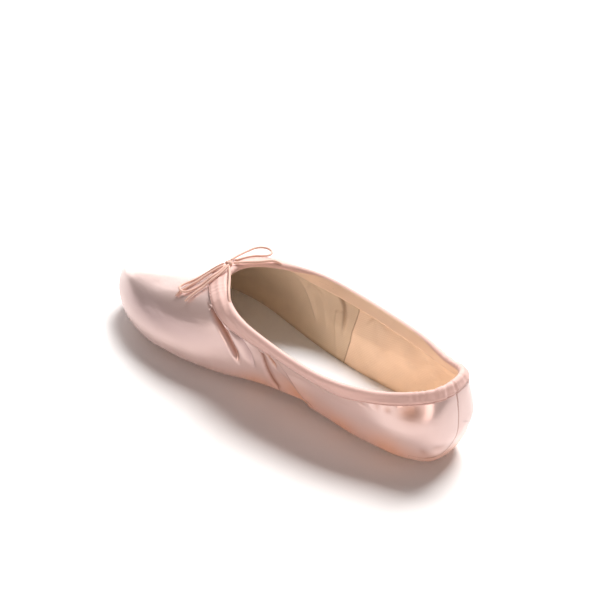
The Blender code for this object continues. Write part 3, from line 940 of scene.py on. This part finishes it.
# Columns: places, rise, toe width, heel width, brown painted shade share, grey painted shade share,
# sharpness, start, end.
LEFT_FOLDS = (
    Fold(SLIT, -0.0034, 0.0013, 0.0022, 0.95, 0.0, 0.0, 0.36, 0.22),
    Fold(SLIT_FOOT, -0.0006, 0.0006, 0.0007, 0.5, 0.5, 0.4),
    Fold(SLIT_RIDGE, 0.0009, 0.0013, 0.0013, start=0.45, end=0.45),
    Fold(TAPE_DIP, -0.0005, 0.0010, 0.0016, 0.45, start=0.5),
    Fold(SECOND_TROUGH, -0.0028, 0.0040, 0.0013, 0.15, 0.80, 0.2, 0.12, 0.45),
    Fold(TROUGH_RIDGE, 0.0006, 0.0014, 0.0030, start=0.4, end=0.4),
    Fold(HOLLOW_EDGE, -0.0016, 0.0006, 0.0030, 0.45, 0.10, 0.5, 0.08, 0.10),
    Fold(HOLLOW_RIDGE, 0.0005, 0.0030, 0.0014, start=0.45),
    Fold(WEDGE, -0.0015, 0.0011, 0.0018, 0.95, 0.0, 0.3, 0.12, 0.4),
    Fold(HOLLOW, -0.0022, 0.0050, 0.0040, 0.12, 0.0, 0.0, 0.35, 0.25),
    Fold(SIDE_SEAM, 0.0014, 0.0014, 0.0065, 0.0, 0.0, 0.15, 0.35, 0.15),
)
LINING_CREASE = mm((8.0, 45.5), (1.2, 44.8), (-12.9, 41.4), (-20.5, 34.5), (-22.8, 27.0), (-23.2, 20.0))
LINING_WAVES = (
    mm((-38.0, 40.0), (-45.0, 33.0), (-48.0, 25.0), (-56.0, 18.0)),
    mm((-60.0, 38.0), (-68.0, 28.0), (-72.0, 18.0)),
    mm((-78.0, 40.0), (-86.0, 30.0), (-88.0, 20.0)),
)
# The lining's creases take brown painted shade.
LINING_FOLDS = (
    Fold(LINING_CREASE, -0.0014, 0.0020, 0.0009, 0.65, 0.10, 0.5, 0.12, 0.25),
    Fold(LINING_WAVES[0], -0.0011, 0.0055, 0.0055, 0.10),
    Fold(LINING_WAVES[1], -0.0009, 0.0050, 0.0060, 0.12),
    Fold(LINING_WAVES[2], -0.0008, 0.0045, 0.0060, 0.08),
)


def softened(folds: tuple, shift: float, share: float, wider: float = 1.2) -> tuple:
    """The folds of one side for the other, moved along it and made softer.

    Args:
        folds: Folds of the left side.
        shift: Distance towards the toe.
        share: Share of their rise and colour that is kept.
        wider: How much wider they are.

    Returns:
        Folds of the right side.
    """
    made = []
    for fold in folds:
        moved = replace(fold, places=tuple((x + shift, z) for x, z in fold.places), rise=fold.rise * share)
        moved = replace(moved, toe_width=fold.toe_width * wider, heel_width=fold.heel_width * wider)
        made.append(replace(moved, brown_painted_share=fold.brown_painted_share * share, shade=fold.shade * share))
    return tuple(made)


# Sub-assemblies


@dataclass
class Upper:
    """The satin upper with its box, canvas lining, folds, gathers and pleats."""

    last: Last
    effects: Effects
    columns: int = 268
    under_rows: int = 8
    roll_rows: int = 16
    wall_rows: int = 92
    eased_rows: int = 11
    gather_rise: float = 0.00018
    pleat_rise: float = 0.0006
    pleat_count: int = 60
    swell_rise: float = 0.00022
    groove_depth: float = 0.00025
    groove_width: float = 0.0009
    tape_overlap: float = 0.0007
    least_wall: float = 0.0009
    lining_share: float = 0.55
    lining_most: float = 0.0004
    heel_back: float = -0.095
    right_shift: float = -0.005
    right_share: float = 0.5
    layers_end: tuple = (0.50, 0.85)
    lining_seam_z: tuple = (0.0063, 0.0207, 0.0367, 0.0444)
    lining_seam_x: tuple = (-0.0265, -0.0286, -0.0286, -0.0250)
    # Heights along the shoe that the painted peach bounce glow reaches up to.
    painted_bounce_x: tuple = (-0.12, -0.095, -0.06, -0.03, -0.01, 0.02, 0.12)
    painted_bounce_height: tuple = (0.016, 0.026, 0.021, 0.028, 0.020, 0.013, 0.010)
    dimples: tuple = (  # x, z, length, height and rise in metres, and share of brown painted shade in a dent
        (-0.1035, 0.0370, 0.0064, 0.0054, -0.0006, 0.75),
        (-0.0925, 0.0350, 0.0018, 0.0022, -0.0005, 0.45),
        (-0.0868, 0.0344, 0.0016, 0.0020, -0.0005, 0.35),
        (-0.0780, 0.0325, 0.0016, 0.0016, -0.0004, 0.35),
        (-0.0972, 0.0376, 0.0013, 0.0018, 0.0006, 0.0),
        (-0.1004, 0.0388, 0.0011, 0.0016, 0.0006, 0.0),
        (-0.1165, 0.0168, 0.0016, 0.0020, -0.0006, 0.25),
        (-0.1150, 0.0122, 0.0022, 0.0022, 0.0007, 0.0),
        (-0.1110, 0.0140, 0.0012, 0.0022, -0.0005, 0.30),
    )

    def shares(self) -> np.ndarray:
        """Places of the columns, closer together where the folds are.

        Returns:
            Shares from 0 at the heel to 1 at the toe.
        """
        fine = np.linspace(0, 1, 1500)
        along = self.last.station_curve(fine)["along"]
        dense = smooth_step(0.24, 0.33, along) * (1 - smooth_step(0.62, 0.70, along))
        heel = 1 - smooth_step(0.06, 0.22, along)
        count = np.concatenate([[0.0], np.cumsum(1 + 2.4 * dense[1:] + 0.5 * heel[1:])])
        shares = np.interp(np.linspace(0, count[-1], self.columns), count, fine)
        shares[-1] = 1.0
        return shares

    def eased(self, face: np.ndarray) -> np.ndarray:
        """Rounds the slight bend where the rolled edge turns into the wall.

        Args:
            face: The outer face, which is changed.

        Returns:
            The face.
        """
        bend = self.under_rows + self.roll_rows
        near = face[bend - self.eased_rows : bend + self.eased_rows + 1]
        for _ in range(3 * self.eased_rows):
            near[1:-1] = (near[:-2] + 2 * near[1:-1] + near[2:]) / 4
        return face

    def depth(self, points: np.ndarray) -> np.ndarray:
        """Distance of each point below the collar, along its column."""
        steps = np.linalg.norm(np.diff(points[::-1], axis=0), axis=2)
        return np.concatenate([np.zeros((1, points.shape[1])), np.cumsum(steps, axis=0)])[::-1]

    def side_relief(self, x: np.ndarray, z: np.ndarray, side: Side) -> np.ndarray:
        """Folds and dimples of one side.

        Args:
            x: Places along the shoe.
            z: Heights.
            side: The side of the shoe.

        Returns:
            The height along the normal, and the shares of the brown and the grey painted shade.
        """
        share = 1.0 if side is Side.LEFT else self.right_share
        folds = LEFT_FOLDS if side is Side.LEFT else softened(LEFT_FOLDS, self.right_shift, share)
        made = self.gathered(folds, x, z)
        # Dents carry brown painted shade; swells carry none.
        for at_x, at_z, long, tall, height, brown_painted_share in self.dimples:
            spot = share * np.exp(-(((x - at_x) / long) ** 2) - ((z - at_z) / tall) ** 2)
            made[0] += height * spot
            made[1] = np.maximum(made[1], brown_painted_share * spot)
        return made

    def gathered(self, folds: tuple, x: np.ndarray, z: np.ndarray) -> np.ndarray:
        """Several folds together: their heights added, and the strongest of their painted shades."""
        cast = np.array([fold.cast(x, z) for fold in folds])
        return np.array([cast[:, 0].sum(axis=0), cast[:, 1].max(axis=0), cast[:, 2].max(axis=0)])

    def relief(self, points: np.ndarray, depth: np.ndarray) -> tuple:
        """Height of the folds, gathers and pleats over the plain face.

        Args:
            points: The plain face.
            depth: Distance below the collar.

        Returns:
            The height along the normal, and the shares of the brown and the grey painted shade.
        """
        x, y, z = np.moveaxis(points, -1, 0)
        left, right = self.side_relief(x, z, Side.LEFT), self.side_relief(x, z, Side.RIGHT)
        rise, brown_painted_shade, grey_painted_shade = np.where(y > 0, left, right) * smooth_step(0.002, 0.012, np.abs(y))
        below = depth - (self.last.tape_depth(points[-1][None, :, 0]) - self.tape_overlap)
        free = smooth_step(-0.0022, 0.0008, below)
        most = 0.0003 + 0.0014 * smooth_step(0.0, 0.0035, below)
        rise = np.minimum(rise, most) * free
        heel = (1 - smooth_step(-0.090, -0.055, x)) * smooth_step(-0.111, -0.103, x)
        near = smooth_step(-0.002, 0.0005, below) * (1 - smooth_step(0.0005, 0.0060, below))
        rise += self.gather_rise * heel * near * gather_wave(run_lengths(points[-1])[None, :], 940)
        outline = run_lengths(points[0])[None, :] / run_lengths(points[0])[-1]
        pleats = np.abs(np.sin(outline * math.pi * self.pleat_count)) - 0.5
        low = 1 - smooth_step(0.0, 0.0050, z - self.last.seam_height(x))
        rise += self.pleat_rise * pleats * low * smooth_step(0.070, 0.092, x)
        swell = np.sin(x * 150 + 1.3 + 2.0 * np.sin(z * 120)) * np.sin(z * 210 + x * 60 + y * 90)
        rise += self.swell_rise * swell * free
        back = np.where(x < self.heel_back, nearest(BACK_SEAM, y, z)[0], 1.0)
        rise -= self.groove_depth * np.exp(-((back / self.groove_width) ** 2))
        # Painted shade: a darker band along the upper part of the box's left side.
        band = np.exp(-(((x - 0.064) / 0.044) ** 2) - ((z - 0.0270 + 0.06 * (x - 0.07)) / 0.0090) ** 2)
        grey_painted_shade = np.maximum(grey_painted_shade, 0.58 * band * smooth_step(0.010, 0.025, y))
        # The grey painted shade is also slightly darker at the back of the heel.
        return rise, brown_painted_shade, np.maximum(grey_painted_shade, 0.16 * (1 - smooth_step(-0.120, -0.098, x)))

    def lining_relief(self, points: np.ndarray) -> tuple:
        """Folds of the lining alone, raised into the shoe.

        Args:
            points: The plain face.

        Returns:
            The height towards the wall, and the painted shade of the folds.
        """
        x, y, z = np.moveaxis(points, -1, 0)
        rise, brown_painted_shade, _ = self.gathered(LINING_FOLDS, x, z)
        share = np.where(y < 0, 1.0, 0.6) * smooth_step(0.002, 0.012, np.abs(y))
        return rise * share, brown_painted_shade * share

    def colours(self, points: np.ndarray) -> dict:
        """Signed distances to the seams and a painted shade line, and the shares of the painted bounce glow
        and shade streak.

        Args:
            points: The plain face.

        Returns:
            One array for each.
        """
        x, y, z = np.moveaxis(points, -1, 0)
        far = 0.05
        # The side seam's line is joined by a painted shade line along the hollow's edge.
        seam, hollow = signed_distance(SIDE_SEAM, x, z), signed_distance(HOLLOW_EDGE, x, z)
        side = seam * hollow / (np.abs(seam) + np.abs(hollow))
        back = signed_distance(BACK_SEAM, y, z)
        # Painted peach bounce glow from the floor, low on the satin and fainter towards the toe.
        reach = 0.25 + 0.75 * (1 - smooth_step(-0.010, 0.030, x))
        low = 1 - smooth_step(0.25, 1.0, z / np.interp(x, self.painted_bounce_x, self.painted_bounce_height))
        # Painted shade: a thin slanted streak at the back of the heel.
        slant = z - 0.0250 - 0.64 * (y + 0.0045)
        heel_shade_streak = np.exp(-(((y + 0.0050) / 0.0028) ** 2) - (slant / 0.0005) ** 2) * (x < -0.1)
        return {
            "back_seam": np.where(x < self.heel_back, back, np.copysign(far, back)),
            "side_seam_and_shade_line": np.where(y > 0, side, np.copysign(far, side)),
            "lining_seam": x - np.interp(z, self.lining_seam_z, self.lining_seam_x),
            "low": (0.58 + 0.17 * np.sin(x * 210 + 1.9)) * low * reach,
            "heel_shade_streak": 0.6 * heel_shade_streak,
        }

    def build(self) -> bpy.types.Object:
        """Makes the wall: outer face, then inner face, as one closed skin.

        Returns:
            The upper.
        """
        shares = self.shares()
        face = around(self.last.outer_half(shares, self.under_rows, self.roll_rows, self.wall_rows))
        face = self.eased(face)
        depth = self.depth(face)
        normals = grid_normals(face)
        rise, brown_painted_shade, grey_painted_shade = self.relief(face, depth)
        inner_rise, inner_brown_painted_shade = self.lining_relief(face)
        half = np.clip(self.last.station_curve(shares)["roof"], 0, 1)
        box = np.concatenate([half, half[-2::-1]])
        under = np.zeros(self.under_rows)
        roll = np.sin(np.linspace(0, math.pi / 2, self.roll_rows, endpoint=False))
        wall = 1 - smooth_step(*self.layers_end, np.linspace(0, 1, self.wall_rows))
        thick = self.last.wall_at(np.concatenate([under, roll, wall])[:, None] * box)
        outer = face + normals * rise[..., None]
        lined = np.minimum(self.lining_share * rise, self.lining_most)
        carried = lined - thick + np.minimum(inner_rise, 0.0)
        carried = np.minimum(carried, rise - self.least_wall)
        inner = (face + normals * carried[..., None])[::-1][::2]
        points = np.concatenate([outer, inner, outer[:1]])
        values = {"shade": grey_painted_shade, **self.colours(face)}
        values = {k: np.concatenate([v, v[::-1][::2], v[:1]]) for k, v in values.items()}
        # The fold attribute carries brown painted shade for the satin's folds and the lining's creases.
        values["fold"] = np.concatenate([brown_painted_shade, inner_brown_painted_shade[::-1][::2], brown_painted_shade[:1]])
        piece = wrapped_grid("satin_upper", points, values, self.under_rows + self.roll_rows)
        self.dress(piece, points, len(outer))
        return piece

    def dress(self, piece: bpy.types.Object, points: np.ndarray, outside: int) -> None:
        """Puts satin on the outer face and canvas on the inner one.

        Args:
            piece: The upper.
            points: The grid that it was wrapped over.
            outside: How many of the grid's rows are outside.
        """
        settle(piece, "satin", satin(self.effects), lining(self.effects), node="upper")
        mesh = piece.data
        heights = run_lengths(points[:, points.shape[1] // 4])
        layer = mesh.uv_layers.active.data
        flat = np.empty(len(layer) * 2)
        layer.foreach_get("uv", flat)
        starts = np.empty(len(mesh.polygons), int)
        mesh.polygons.foreach_get("loop_start", starts)
        sizes = np.empty(len(mesh.polygons), int)
        mesh.polygons.foreach_get("loop_total", sizes)
        middle = np.add.reduceat(flat[1::2], starts) / sizes
        inside = (middle > heights[outside - 1]) & (middle < heights[-2])
        mesh.polygons.foreach_set("material_index", inside.astype(np.int32))


@dataclass
class Casing:
    """The casing tape folded over the collar, its stitches and the bulge of the cord in it."""

    last: Last
    effects: Effects
    trim: float = 0.0007
    turn_in: float = 0.0054
    thickness: float = 0.0008
    ease: float = 0.0005
    columns: int = 300
    face_rows: tuple = (2, 6, 80)
    leg_rows: int = 18
    fold_rows: int = 9
    turn_in_rows: int = 8
    cord_bulge: float = 0.0005
    cord_depth: float = 0.0028
    cord_spread: float = 0.0014
    pinch: float = 0.00025
    pinch_width: float = 0.0006
    stitch_inset: float = 0.0005
    stitch_pitch: float = 0.0024
    stitch_length: float = 0.0018
    stitch_width: float = 0.00030
    stitch_sink: float = 0.00022
    stitch_aim: float = 0.0008

    def face(self) -> np.ndarray:
        """The upper's outer face, with columns for the tape."""
        return around(self.last.outer_half(np.linspace(0, 1, self.columns), *self.face_rows))

    def strip(self) -> tuple:
        """The upper's outer face near the collar, from the tape's lower edge up.

        Returns:
            The rows' depths below the collar, their points and normals, and the upward directions there.
        """
        face = self.face()
        reach = self.last.tape_depth(face[-1][:, 0]) - self.trim
        depths = np.outer(np.linspace(1, 0, self.leg_rows), reach)
        strip = self.below_collar(face, depths)
        return depths, strip, grid_normals(strip), unit(strip[-1] - strip[-2])

    def below_collar(self, face: np.ndarray, depths: np.ndarray) -> np.ndarray:
        """Points of the upper's outer face at these depths, one row for each row of depths.

        Args:
            face: The outer face.
            depths: Rows of distances below the collar.

        Returns:
            The points.
        """
        found = []
        for column, wanted in zip(np.swapaxes(face, 0, 1), depths.T):
            found.append(read_along(wanted, run_lengths(column[::-1]), column[::-1]))
        return np.swapaxes(np.array(found), 0, 1)

    def ripple(self, strip: np.ndarray) -> np.ndarray:
        """Gathers of the tape: strong at the heel and throat, slight along the sides.

        Args:
            strip: Points of the face under the tape.

        Returns:
            The height along the normal.
        """
        rim = run_lengths(strip[-1])[None, :]
        x = strip[..., 0]
        heel = 1 - smooth_step(-0.100, -0.072, x)
        throat = smooth_step(0.012, 0.034, x)
        patches = (0.5 + 0.5 * np.sin(rim * 95 + 0.6)) ** 2
        wave = gather_wave(rim, 2300)
        return (0.00003 + (0.00034 * patches + 0.00005) * heel + 0.00002 * throat) * wave

    def build(self) -> bpy.types.Object:
        """Makes the tape as one closed skin.

        Returns:
            The tape.
        """
        depths, strip, normals, upwards = self.strip()
        ripple = self.ripple(strip)
        bulge = self.cord_bulge * np.exp(-(((depths - self.cord_depth) / self.cord_spread) ** 2))
        from_stitches = depths - (depths[0] - self.stitch_inset)
        pinch = -self.pinch * np.exp(-((from_stitches / self.pinch_width) ** 2))
        lip = ripple + bulge + pinch
        wall = self.last.quarter_wall
        turned = np.outer(np.linspace(0, 1, self.turn_in_rows), np.full(self.columns * 2 - 1, self.turn_in))
        under = self.below_collar(self.face(), turned)
        inwards = -grid_normals(under[::-1])[::-1]

        def shell(gap: float) -> np.ndarray:
            """Rows of one side of the tape, this far from the wall.

            Args:
                gap: Distance from the wall.

            Returns:
                The rows, from the outer lower edge over the collar and down inside.
            """
            rows = [strip[i] + normals[i] * (gap + lip[i])[:, None] for i in range(len(depths))]
            centre = strip[-1] - normals[-1] * wall / 2
            top = (ripple[-1] + bulge[-1])[:, None]
            for turn in np.linspace(0, math.pi, self.fold_rows + 2)[1:-1]:
                ray = normals[-1] * math.cos(turn) + upwards * math.sin(turn)
                rows.append(centre + ray * (wall / 2 + gap + top * (1 - turn / math.pi)))
            rows.extend(under + inwards * (wall + gap))
            return np.array(rows)

        outside = shell(self.ease + self.thickness)
        inside = shell(self.ease)[::-1]
        points = np.concatenate([outside, inside, outside[:1]])
        line = np.full(points.shape[:2], 0.02)
        line[: len(depths)] = from_stitches
        start = len(depths) + self.fold_rows
        within = np.zeros(points.shape[:2])
        within[start - 1 : start + len(turned)] = 1.0
        piece = wrapped_grid("casing_band", points, {"stitch_line": line, "inside": within})
        settle(piece, "casing_tape", tape(self.effects), node="collar_binding")
        return piece

    def stitches(self) -> bpy.types.Object:
        """Makes the row of stitches along the tape's lower edge: one stitch, copied along the line.

        Returns:
            The stitches as one piece.
        """
        _, strip, normals, _ = self.strip()
        row = 1
        path = strip[row] + normals[row] * (self.ease + self.thickness - self.stitch_sink)
        marks = run_lengths(path)
        count = int(marks[-1] / self.stitch_pitch)
        places = (np.arange(count) + 0.5) * marks[-1] / count
        centre = read_along(places, marks, path)
        along = unit(read_along(places + self.stitch_aim, marks, path) - centre)
        outwards = unit(read_along(places, marks, normals[row]))
        deselect()
        bpy.ops.mesh.primitive_uv_sphere_add(segments=8, ring_count=5, radius=0.5)
        piece = named("casing_stitches")
        shape = np.array([v.co[:] for v in piece.data.vertices])
        faces = [tuple(p.vertices) for p in piece.data.polygons]
        across = np.cross(outwards, along)
        sizes = (self.stitch_length, self.stitch_width, self.stitch_width)
        axes = np.stack([along, across, outwards], axis=1)
        points = centre[:, None] + np.einsum("vk,nkc->nvc", shape[:, [2, 0, 1]] * sizes, axes)
        joined = [tuple(i + k * len(shape) for i in face) for k in range(count) for face in faces]
        piece.data.clear_geometry()
        piece.data.from_pydata(points.reshape(-1, 3).tolist(), [], joined)
        edited(face_outwards)
        bpy.ops.object.shade_smooth()
        settle(piece, "casing_tape", plain_cloth(self.effects, THREAD))
        return piece


@dataclass
class Bottom:
    """The insole inside the shoe and the leather outsole under it."""

    last: Last
    effects: Effects
    insole_thickness: float = 0.0018
    insole_ease: float = 0.0008
    insole_bevel: float = 0.0003
    sole_bevel: float = 0.0005
    columns: int = 121
    strips: int = 90
    bevelled_from: float = 50.0
    smooth_to: float = 40.0

    def plate(
        self, name: str, lower: np.ndarray, upper: np.ndarray, thickness: float, bevel: float
    ) -> bpy.types.Object:
        """Makes a flat piece: a disc drawn out to the outline, extruded, cut into strips and bevelled.

        Args:
            name: The piece's name.
            lower: Left half of the outline of its underside, from heel to toe.
            upper: The same of its top.
            thickness: The piece's thickness.
            bevel: Width of its broken edges.

        Returns:
            The flat piece.
        """
        rings = []
        for outline in (lower.copy(), upper.copy()):
            outline[[0, -1], 1] = 0.0
            rings.append(np.vstack([outline, outline[-2:0:-1] * (1, -1)]))
        deselect()
        bpy.ops.mesh.primitive_circle_add(vertices=len(rings[0]), radius=1.0, fill_type="NGON")
        piece = named(name)
        for vertex, (x, y) in zip(piece.data.vertices, rings[0]):
            vertex.co = (x, y, 0.0)
        edited(lambda: bpy.ops.mesh.extrude_region_move(TRANSFORM_OT_translate={"value": (0, 0, thickness)}))
        for vertex in piece.data.vertices:
            if vertex.co.z > thickness / 2:
                off = np.hypot(rings[0][:, 0] - vertex.co.x, rings[0][:, 1] - vertex.co.y)
                vertex.co.x, vertex.co.y = rings[1][int(np.argmin(off))]
        ends = lower[:, 0].min() + 0.001, lower[:, 0].max() - 0.001
        cuts = [
            lambda x=x: bpy.ops.mesh.bisect(plane_co=(x, 0, 0), plane_no=(1, 0, 0))
            for x in np.linspace(*ends, self.strips)
        ]
        edited(*cuts, face_outwards)
        edge = piece.modifiers.new("edge", "BEVEL")
        edge.width = bevel
        edge.segments = 2
        edge.limit_method = "ANGLE"
        edge.angle_limit = math.radians(self.bevelled_from)
        bpy.ops.object.modifier_apply(modifier=edge.name)
        return piece

    def finish(self, piece: bpy.types.Object, low: Callable) -> None:
        """Bends a flat piece to the sole line, and lays its grain over it in plan, in metres.

        Args:
            piece: The flat piece.
            low: Height of its underside at any place along the shoe.
        """
        mesh = piece.data
        for vertex in mesh.vertices:
            vertex.co.z += float(low(np.array(vertex.co.x)))
        layer = mesh.uv_layers.active.data
        for loop in mesh.loops:
            layer[loop.index].uv = mesh.vertices[loop.vertex_index].co[:2]
        bpy.context.view_layer.objects.active = piece
        piece.select_set(True)
        bpy.ops.object.shade_smooth_by_angle(angle=math.radians(self.smooth_to))
        deselect()

    def build(self) -> None:
        """Makes the insole and the outsole."""
        last = self.last
        stations = last.station_curve(np.linspace(0, 1, self.columns))
        widest, seam, sole = last.outlines(stations)
        tall = stations["belly"] * last.belly_height
        walls = last.wall_at(np.clip(stations["roof"], 0, 1))
        under = last.quarter_wall + last.clearance

        def line(height: float) -> np.ndarray:
            """The wall's inner face in plan at this height above the sole seam.

            Args:
                height: The height.

            Returns:
                The left half of the outline.
            """
            drop = np.clip((tall - height) / (tall - under), 0, 1)
            wide = stations["roll"] * last.edge_roll - walls - last.clearance
            spread = wide * np.sqrt(1 - drop**2) - self.insole_ease
            return seam - last.inward(widest) * spread[:, None]

        lines = line(under), line(under + self.insole_thickness)
        insole = self.plate("sock_insole", *lines, self.insole_thickness, self.insole_bevel)
        self.finish(insole, lambda x: last.seam_height(x) + under)
        settle(insole, "sock_lining", plain_cloth(self.effects, SOCK), node="insole")
        outsole = self.plate("leather_outsole", sole, sole, last.sole_thickness, self.sole_bevel)
        self.finish(outsole, last.sole_lift)
        settle(outsole, "sole_leather", leather(self.effects), node="outsole")


STRANDS = {  # node, and its places from inside the casing to the knot
    "drawstring_left": mm(
        (-22.2, 25.2, -1.6), (-19.4, 22.8, 0.6), (-13.4, 16.8, 1.6), (-6.9, 9.8, 2.3), (0.6, 2.7, 2.5)
    ),
    "drawstring_right": mm(
        (-17.2, -21.6, -0.8), (-14.5, -19.5, 1.4), (-9.5, -13.7, 2.0), (-4.5, -7.5, 2.4), (0.7, -1.1, 2.6)
    ),
}
BOW = {  # node, and its places from the knot
    "bow_loop_left": mm(
        (4.7, 2.4, 2.5), (6.6, 5.8, 1.1), (9.2, 11.2, -1.5), (12.6, 19.1, -4.4), (14.7, 24.4, -5.3),
        (14.4, 27.6, -5.3), (12.1, 29.3, -5.7), (9.1, 28.5, -5.9), (6.4, 25.5, -4.8), (3.8, 21.2, -2.7),
        (2.0, 16.0, 0.4), (1.3, 10.8, 1.5), (2.0, 3.6, 2.8),
    ),
    "bow_loop_right": mm(
        (4.2, -2.4, 2.4), (5.5, -7.6, 1.6), (6.6, -14.6, 0.4), (6.5, -20.2, 0.0), (5.6, -25.1, -0.3),
        (3.3, -27.8, -0.5), (0.1, -28.6, -0.4), (-3.4, -27.6, -0.4), (-5.4, -24.8, -0.1), (-5.0, -21.3, 0.4),
        (-1.9, -17.0, 1.0), (1.4, -10.7, 1.4), (2.4, -4.1, 2.3),
    ),
    "bow_end_left": mm(
        (3.7, 4.0, 2.1), (5.6, 9.2, 0.6), (8.4, 17.3, -2.6), (11.4, 24.7, -5.6), (13.1, 28.9, -7.4),
        (13.6, 31.8, -9.0),
    ),
    "bow_end_right": mm(
        (-0.4, 4.0, 4.5), (-1.3, 7.8, 3.5), (-1.1, 12.0, 2.1), (-0.2, 17.0, 0.6), (1.4, 23.0, -2.5),
        (2.9, 27.8, -4.5), (4.4, 31.4, -7.0), (5.2, 32.7, -8.1),
    ),
}


@dataclass
class Drawstring:
    """The cord: two strands out of the casing, the knot, two loops and two ends.

    Every line of places in STRANDS and BOW is measured from the front of the throat.
    """

    last: Last
    effects: Effects
    diameter: float = 0.0014
    step: float = 0.0011
    sides: int = 14
    end_share: float = 0.62
    knot_share: float = 0.64
    knot_place: tuple = (0.0025, 0.0008, 0.0026)
    knot_wind: tuple = (0.00046, 0.00043, 0.00053)
    def throat(self) -> np.ndarray:
        """The front of the throat."""
        return self.last.collar_line(np.ones(1))[0]

    def smooth_line(self, places: tuple) -> np.ndarray:
        """Points along a smooth line through the places, a step apart.

        Args:
            places: Places measured from the front of the throat.

        Returns:
            The points.
        """
        table = self.throat() + np.array(places)
        marks = run_lengths(table)
        even = np.linspace(0, marks[-1], int(math.ceil(marks[-1] / self.step)) + 1)
        return np.column_stack([smooth_curve(marks, table[:, k], even) for k in range(3)])

    def tube(self, name: str, line: np.ndarray, radius: float) -> bpy.types.Object:
        """Wraps a tube with rounded ends about a line of points.

        Args:
            name: The piece's name.
            line: Points of its middle.
            radius: Half its thickness.

        Returns:
            The tube, with U along it and V round it in metres.
        """
        run = unit(np.gradient(line, axis=0))
        side = np.zeros_like(run)
        start = np.cross(run[0], (0.0, 0.0, 1.0))
        side[0] = start / np.linalg.norm(start)
        for i in range(1, len(run)):
            carried = side[i - 1] - run[i] * np.dot(side[i - 1], run[i])
            side[i] = carried / np.linalg.norm(carried)
        other = np.cross(run, side)
        turns = np.linspace(0, 2 * math.pi, self.sides + 1)
        rings = [line[:1].repeat(len(turns), axis=0)]
        for i in range(len(line)):
            size = radius * (self.end_share if i in (0, len(line) - 1) else 1.0)
            turned = np.cos(turns)[:, None] * side[i] + np.sin(turns)[:, None] * other[i]
            rings.append(line[i] + size * turned)
        rings.append(line[-1:].repeat(len(turns), axis=0))
        rings = np.array(rings)
        return wrapped_grid(name, np.swapaxes(rings, 0, 1), across=self.sides // 2)

    def knot(self) -> bpy.types.Object:
        """Makes the knot as a small closed wind of the same cord.

        Returns:
            The knot.
        """
        t = np.linspace(0, 2 * math.pi, 90)
        wind = [np.sin(t) + 2 * np.sin(2 * t), np.cos(t) - 2 * np.cos(2 * t), -1.3 * np.sin(3 * t)]
        line = self.throat() + self.knot_place + np.column_stack(wind) * self.knot_wind
        return self.tube("knot", line, self.diameter * self.knot_share)

    def build(self) -> None:
        finish = cord_finish(self.effects)
        settle(self.knot(), "drawstring", finish, node="bow_knot")
        for node, places in STRANDS.items():
            name = node.replace("drawstring", "strand")
            piece = self.tube(name, self.smooth_line(places), self.diameter / 2)
            settle(piece, "drawstring", finish, node=node)
        for node, places in BOW.items():
            line = self.smooth_line(places)
            piece = self.tube(node.replace("bow_", "cord_"), line, self.diameter / 2)
            settle(piece, "drawstring", finish, node=node)


@dataclass
class Studio:
    """Camera, floor and light."""

    camera_place: tuple = (-0.3956, 0.4244, 0.4326)
    camera_aim: tuple = (-0.07463, 0.06934, 0.11424)
    lens_mm: float = 77.25
    sensor_mm: float = 36.0
    floor_size: float = 6.0
    floor_drop: float = 0.0004
    shoe_middle: tuple = (0.0, 0.0, 0.02)
    lights: tuple = (  # name, place, size in metres, watts and colour
        ("key_light", (0.22, -0.98, 1.55), 1.00, 62.0, (1.0, 0.985, 0.975)),
        ("back_panel", (1.25, -1.10, 0.42), 1.30, 15.0, (1.0, 0.99, 0.985)),
        ("toe_fill", (0.60, -0.10, 0.10), 0.25, 0.6, (1.0, 0.98, 0.97)),
        ("near_fill", (-0.34, 0.50, 0.20), 0.30, 1.3, (1.0, 0.84, 0.77)),
    )
    world_colour: tuple = (1.0, 0.93, 0.91, 1)
    world_strength: float = 0.085

    def aim(self, thing: bpy.types.Object, place: tuple, target: tuple) -> None:
        """Puts a camera or light at a place, looking at a target."""
        thing.location = place
        thing.rotation_euler = (Vector(target) - Vector(place)).to_track_quat("-Z", "Y").to_euler()

    def camera(self) -> None:
        """Makes the photograph's camera."""
        lens = bpy.data.cameras.new("photo_camera")
        lens.lens = self.lens_mm
        lens.sensor_width = self.sensor_mm
        lens.clip_start = 0.01
        thing = bpy.data.objects.new("photo_camera", lens)
        bpy.context.collection.objects.link(thing)
        self.aim(thing, self.camera_place, self.camera_aim)
        bpy.context.scene.camera = thing

    def area(self, name: str, place: tuple, size: float, power: float, colour: tuple) -> None:
        """Makes a soft square light aimed at the shoe.

        Args:
            name: Its name.
            place: Where it stands.
            size: Its side.
            power: Its power in watts.
            colour: Its colour.
        """
        light = bpy.data.lights.new(name, "AREA")
        light.size = size
        light.energy = power
        light.color = colour
        thing = bpy.data.objects.new(name, light)
        thing.visible_camera = False
        bpy.context.collection.objects.link(thing)
        self.aim(thing, place, self.shoe_middle)

    def build(self) -> None:
        """Makes the camera, the floor and the lights."""
        self.camera()
        deselect()
        bpy.ops.mesh.primitive_plane_add(size=self.floor_size, location=(0, 0, -self.floor_drop))
        floor = bpy.context.object
        floor.name = "studio_floor"
        floor.data.materials.append(floor_finish())
        for light in self.lights:
            self.area(*light)
        world = bpy.data.worlds.new("studio_world")
        bpy.context.scene.world = world
        world.use_nodes = True
        back = world.node_tree.nodes["Background"]
        back.inputs["Color"].default_value = self.world_colour
        back.inputs["Strength"].default_value = self.world_strength
        bpy.context.scene.view_settings.view_transform = "Standard"


def main() -> None:
    """Builds the looks in order."""
    logging.basicConfig(level=logging.INFO, format="%(name)s: %(message)s")
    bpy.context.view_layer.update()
    studio = Studio()
    studio.build()
    effects = Effects()
    last = Last()
    Drawstring(last, effects).build()
    Upper(last, effects).build()
    casing = Casing(last, effects)
    casing.build()
    casing.stitches()
    Bottom(last, effects).build()


if __name__ == "__main__":
    main()
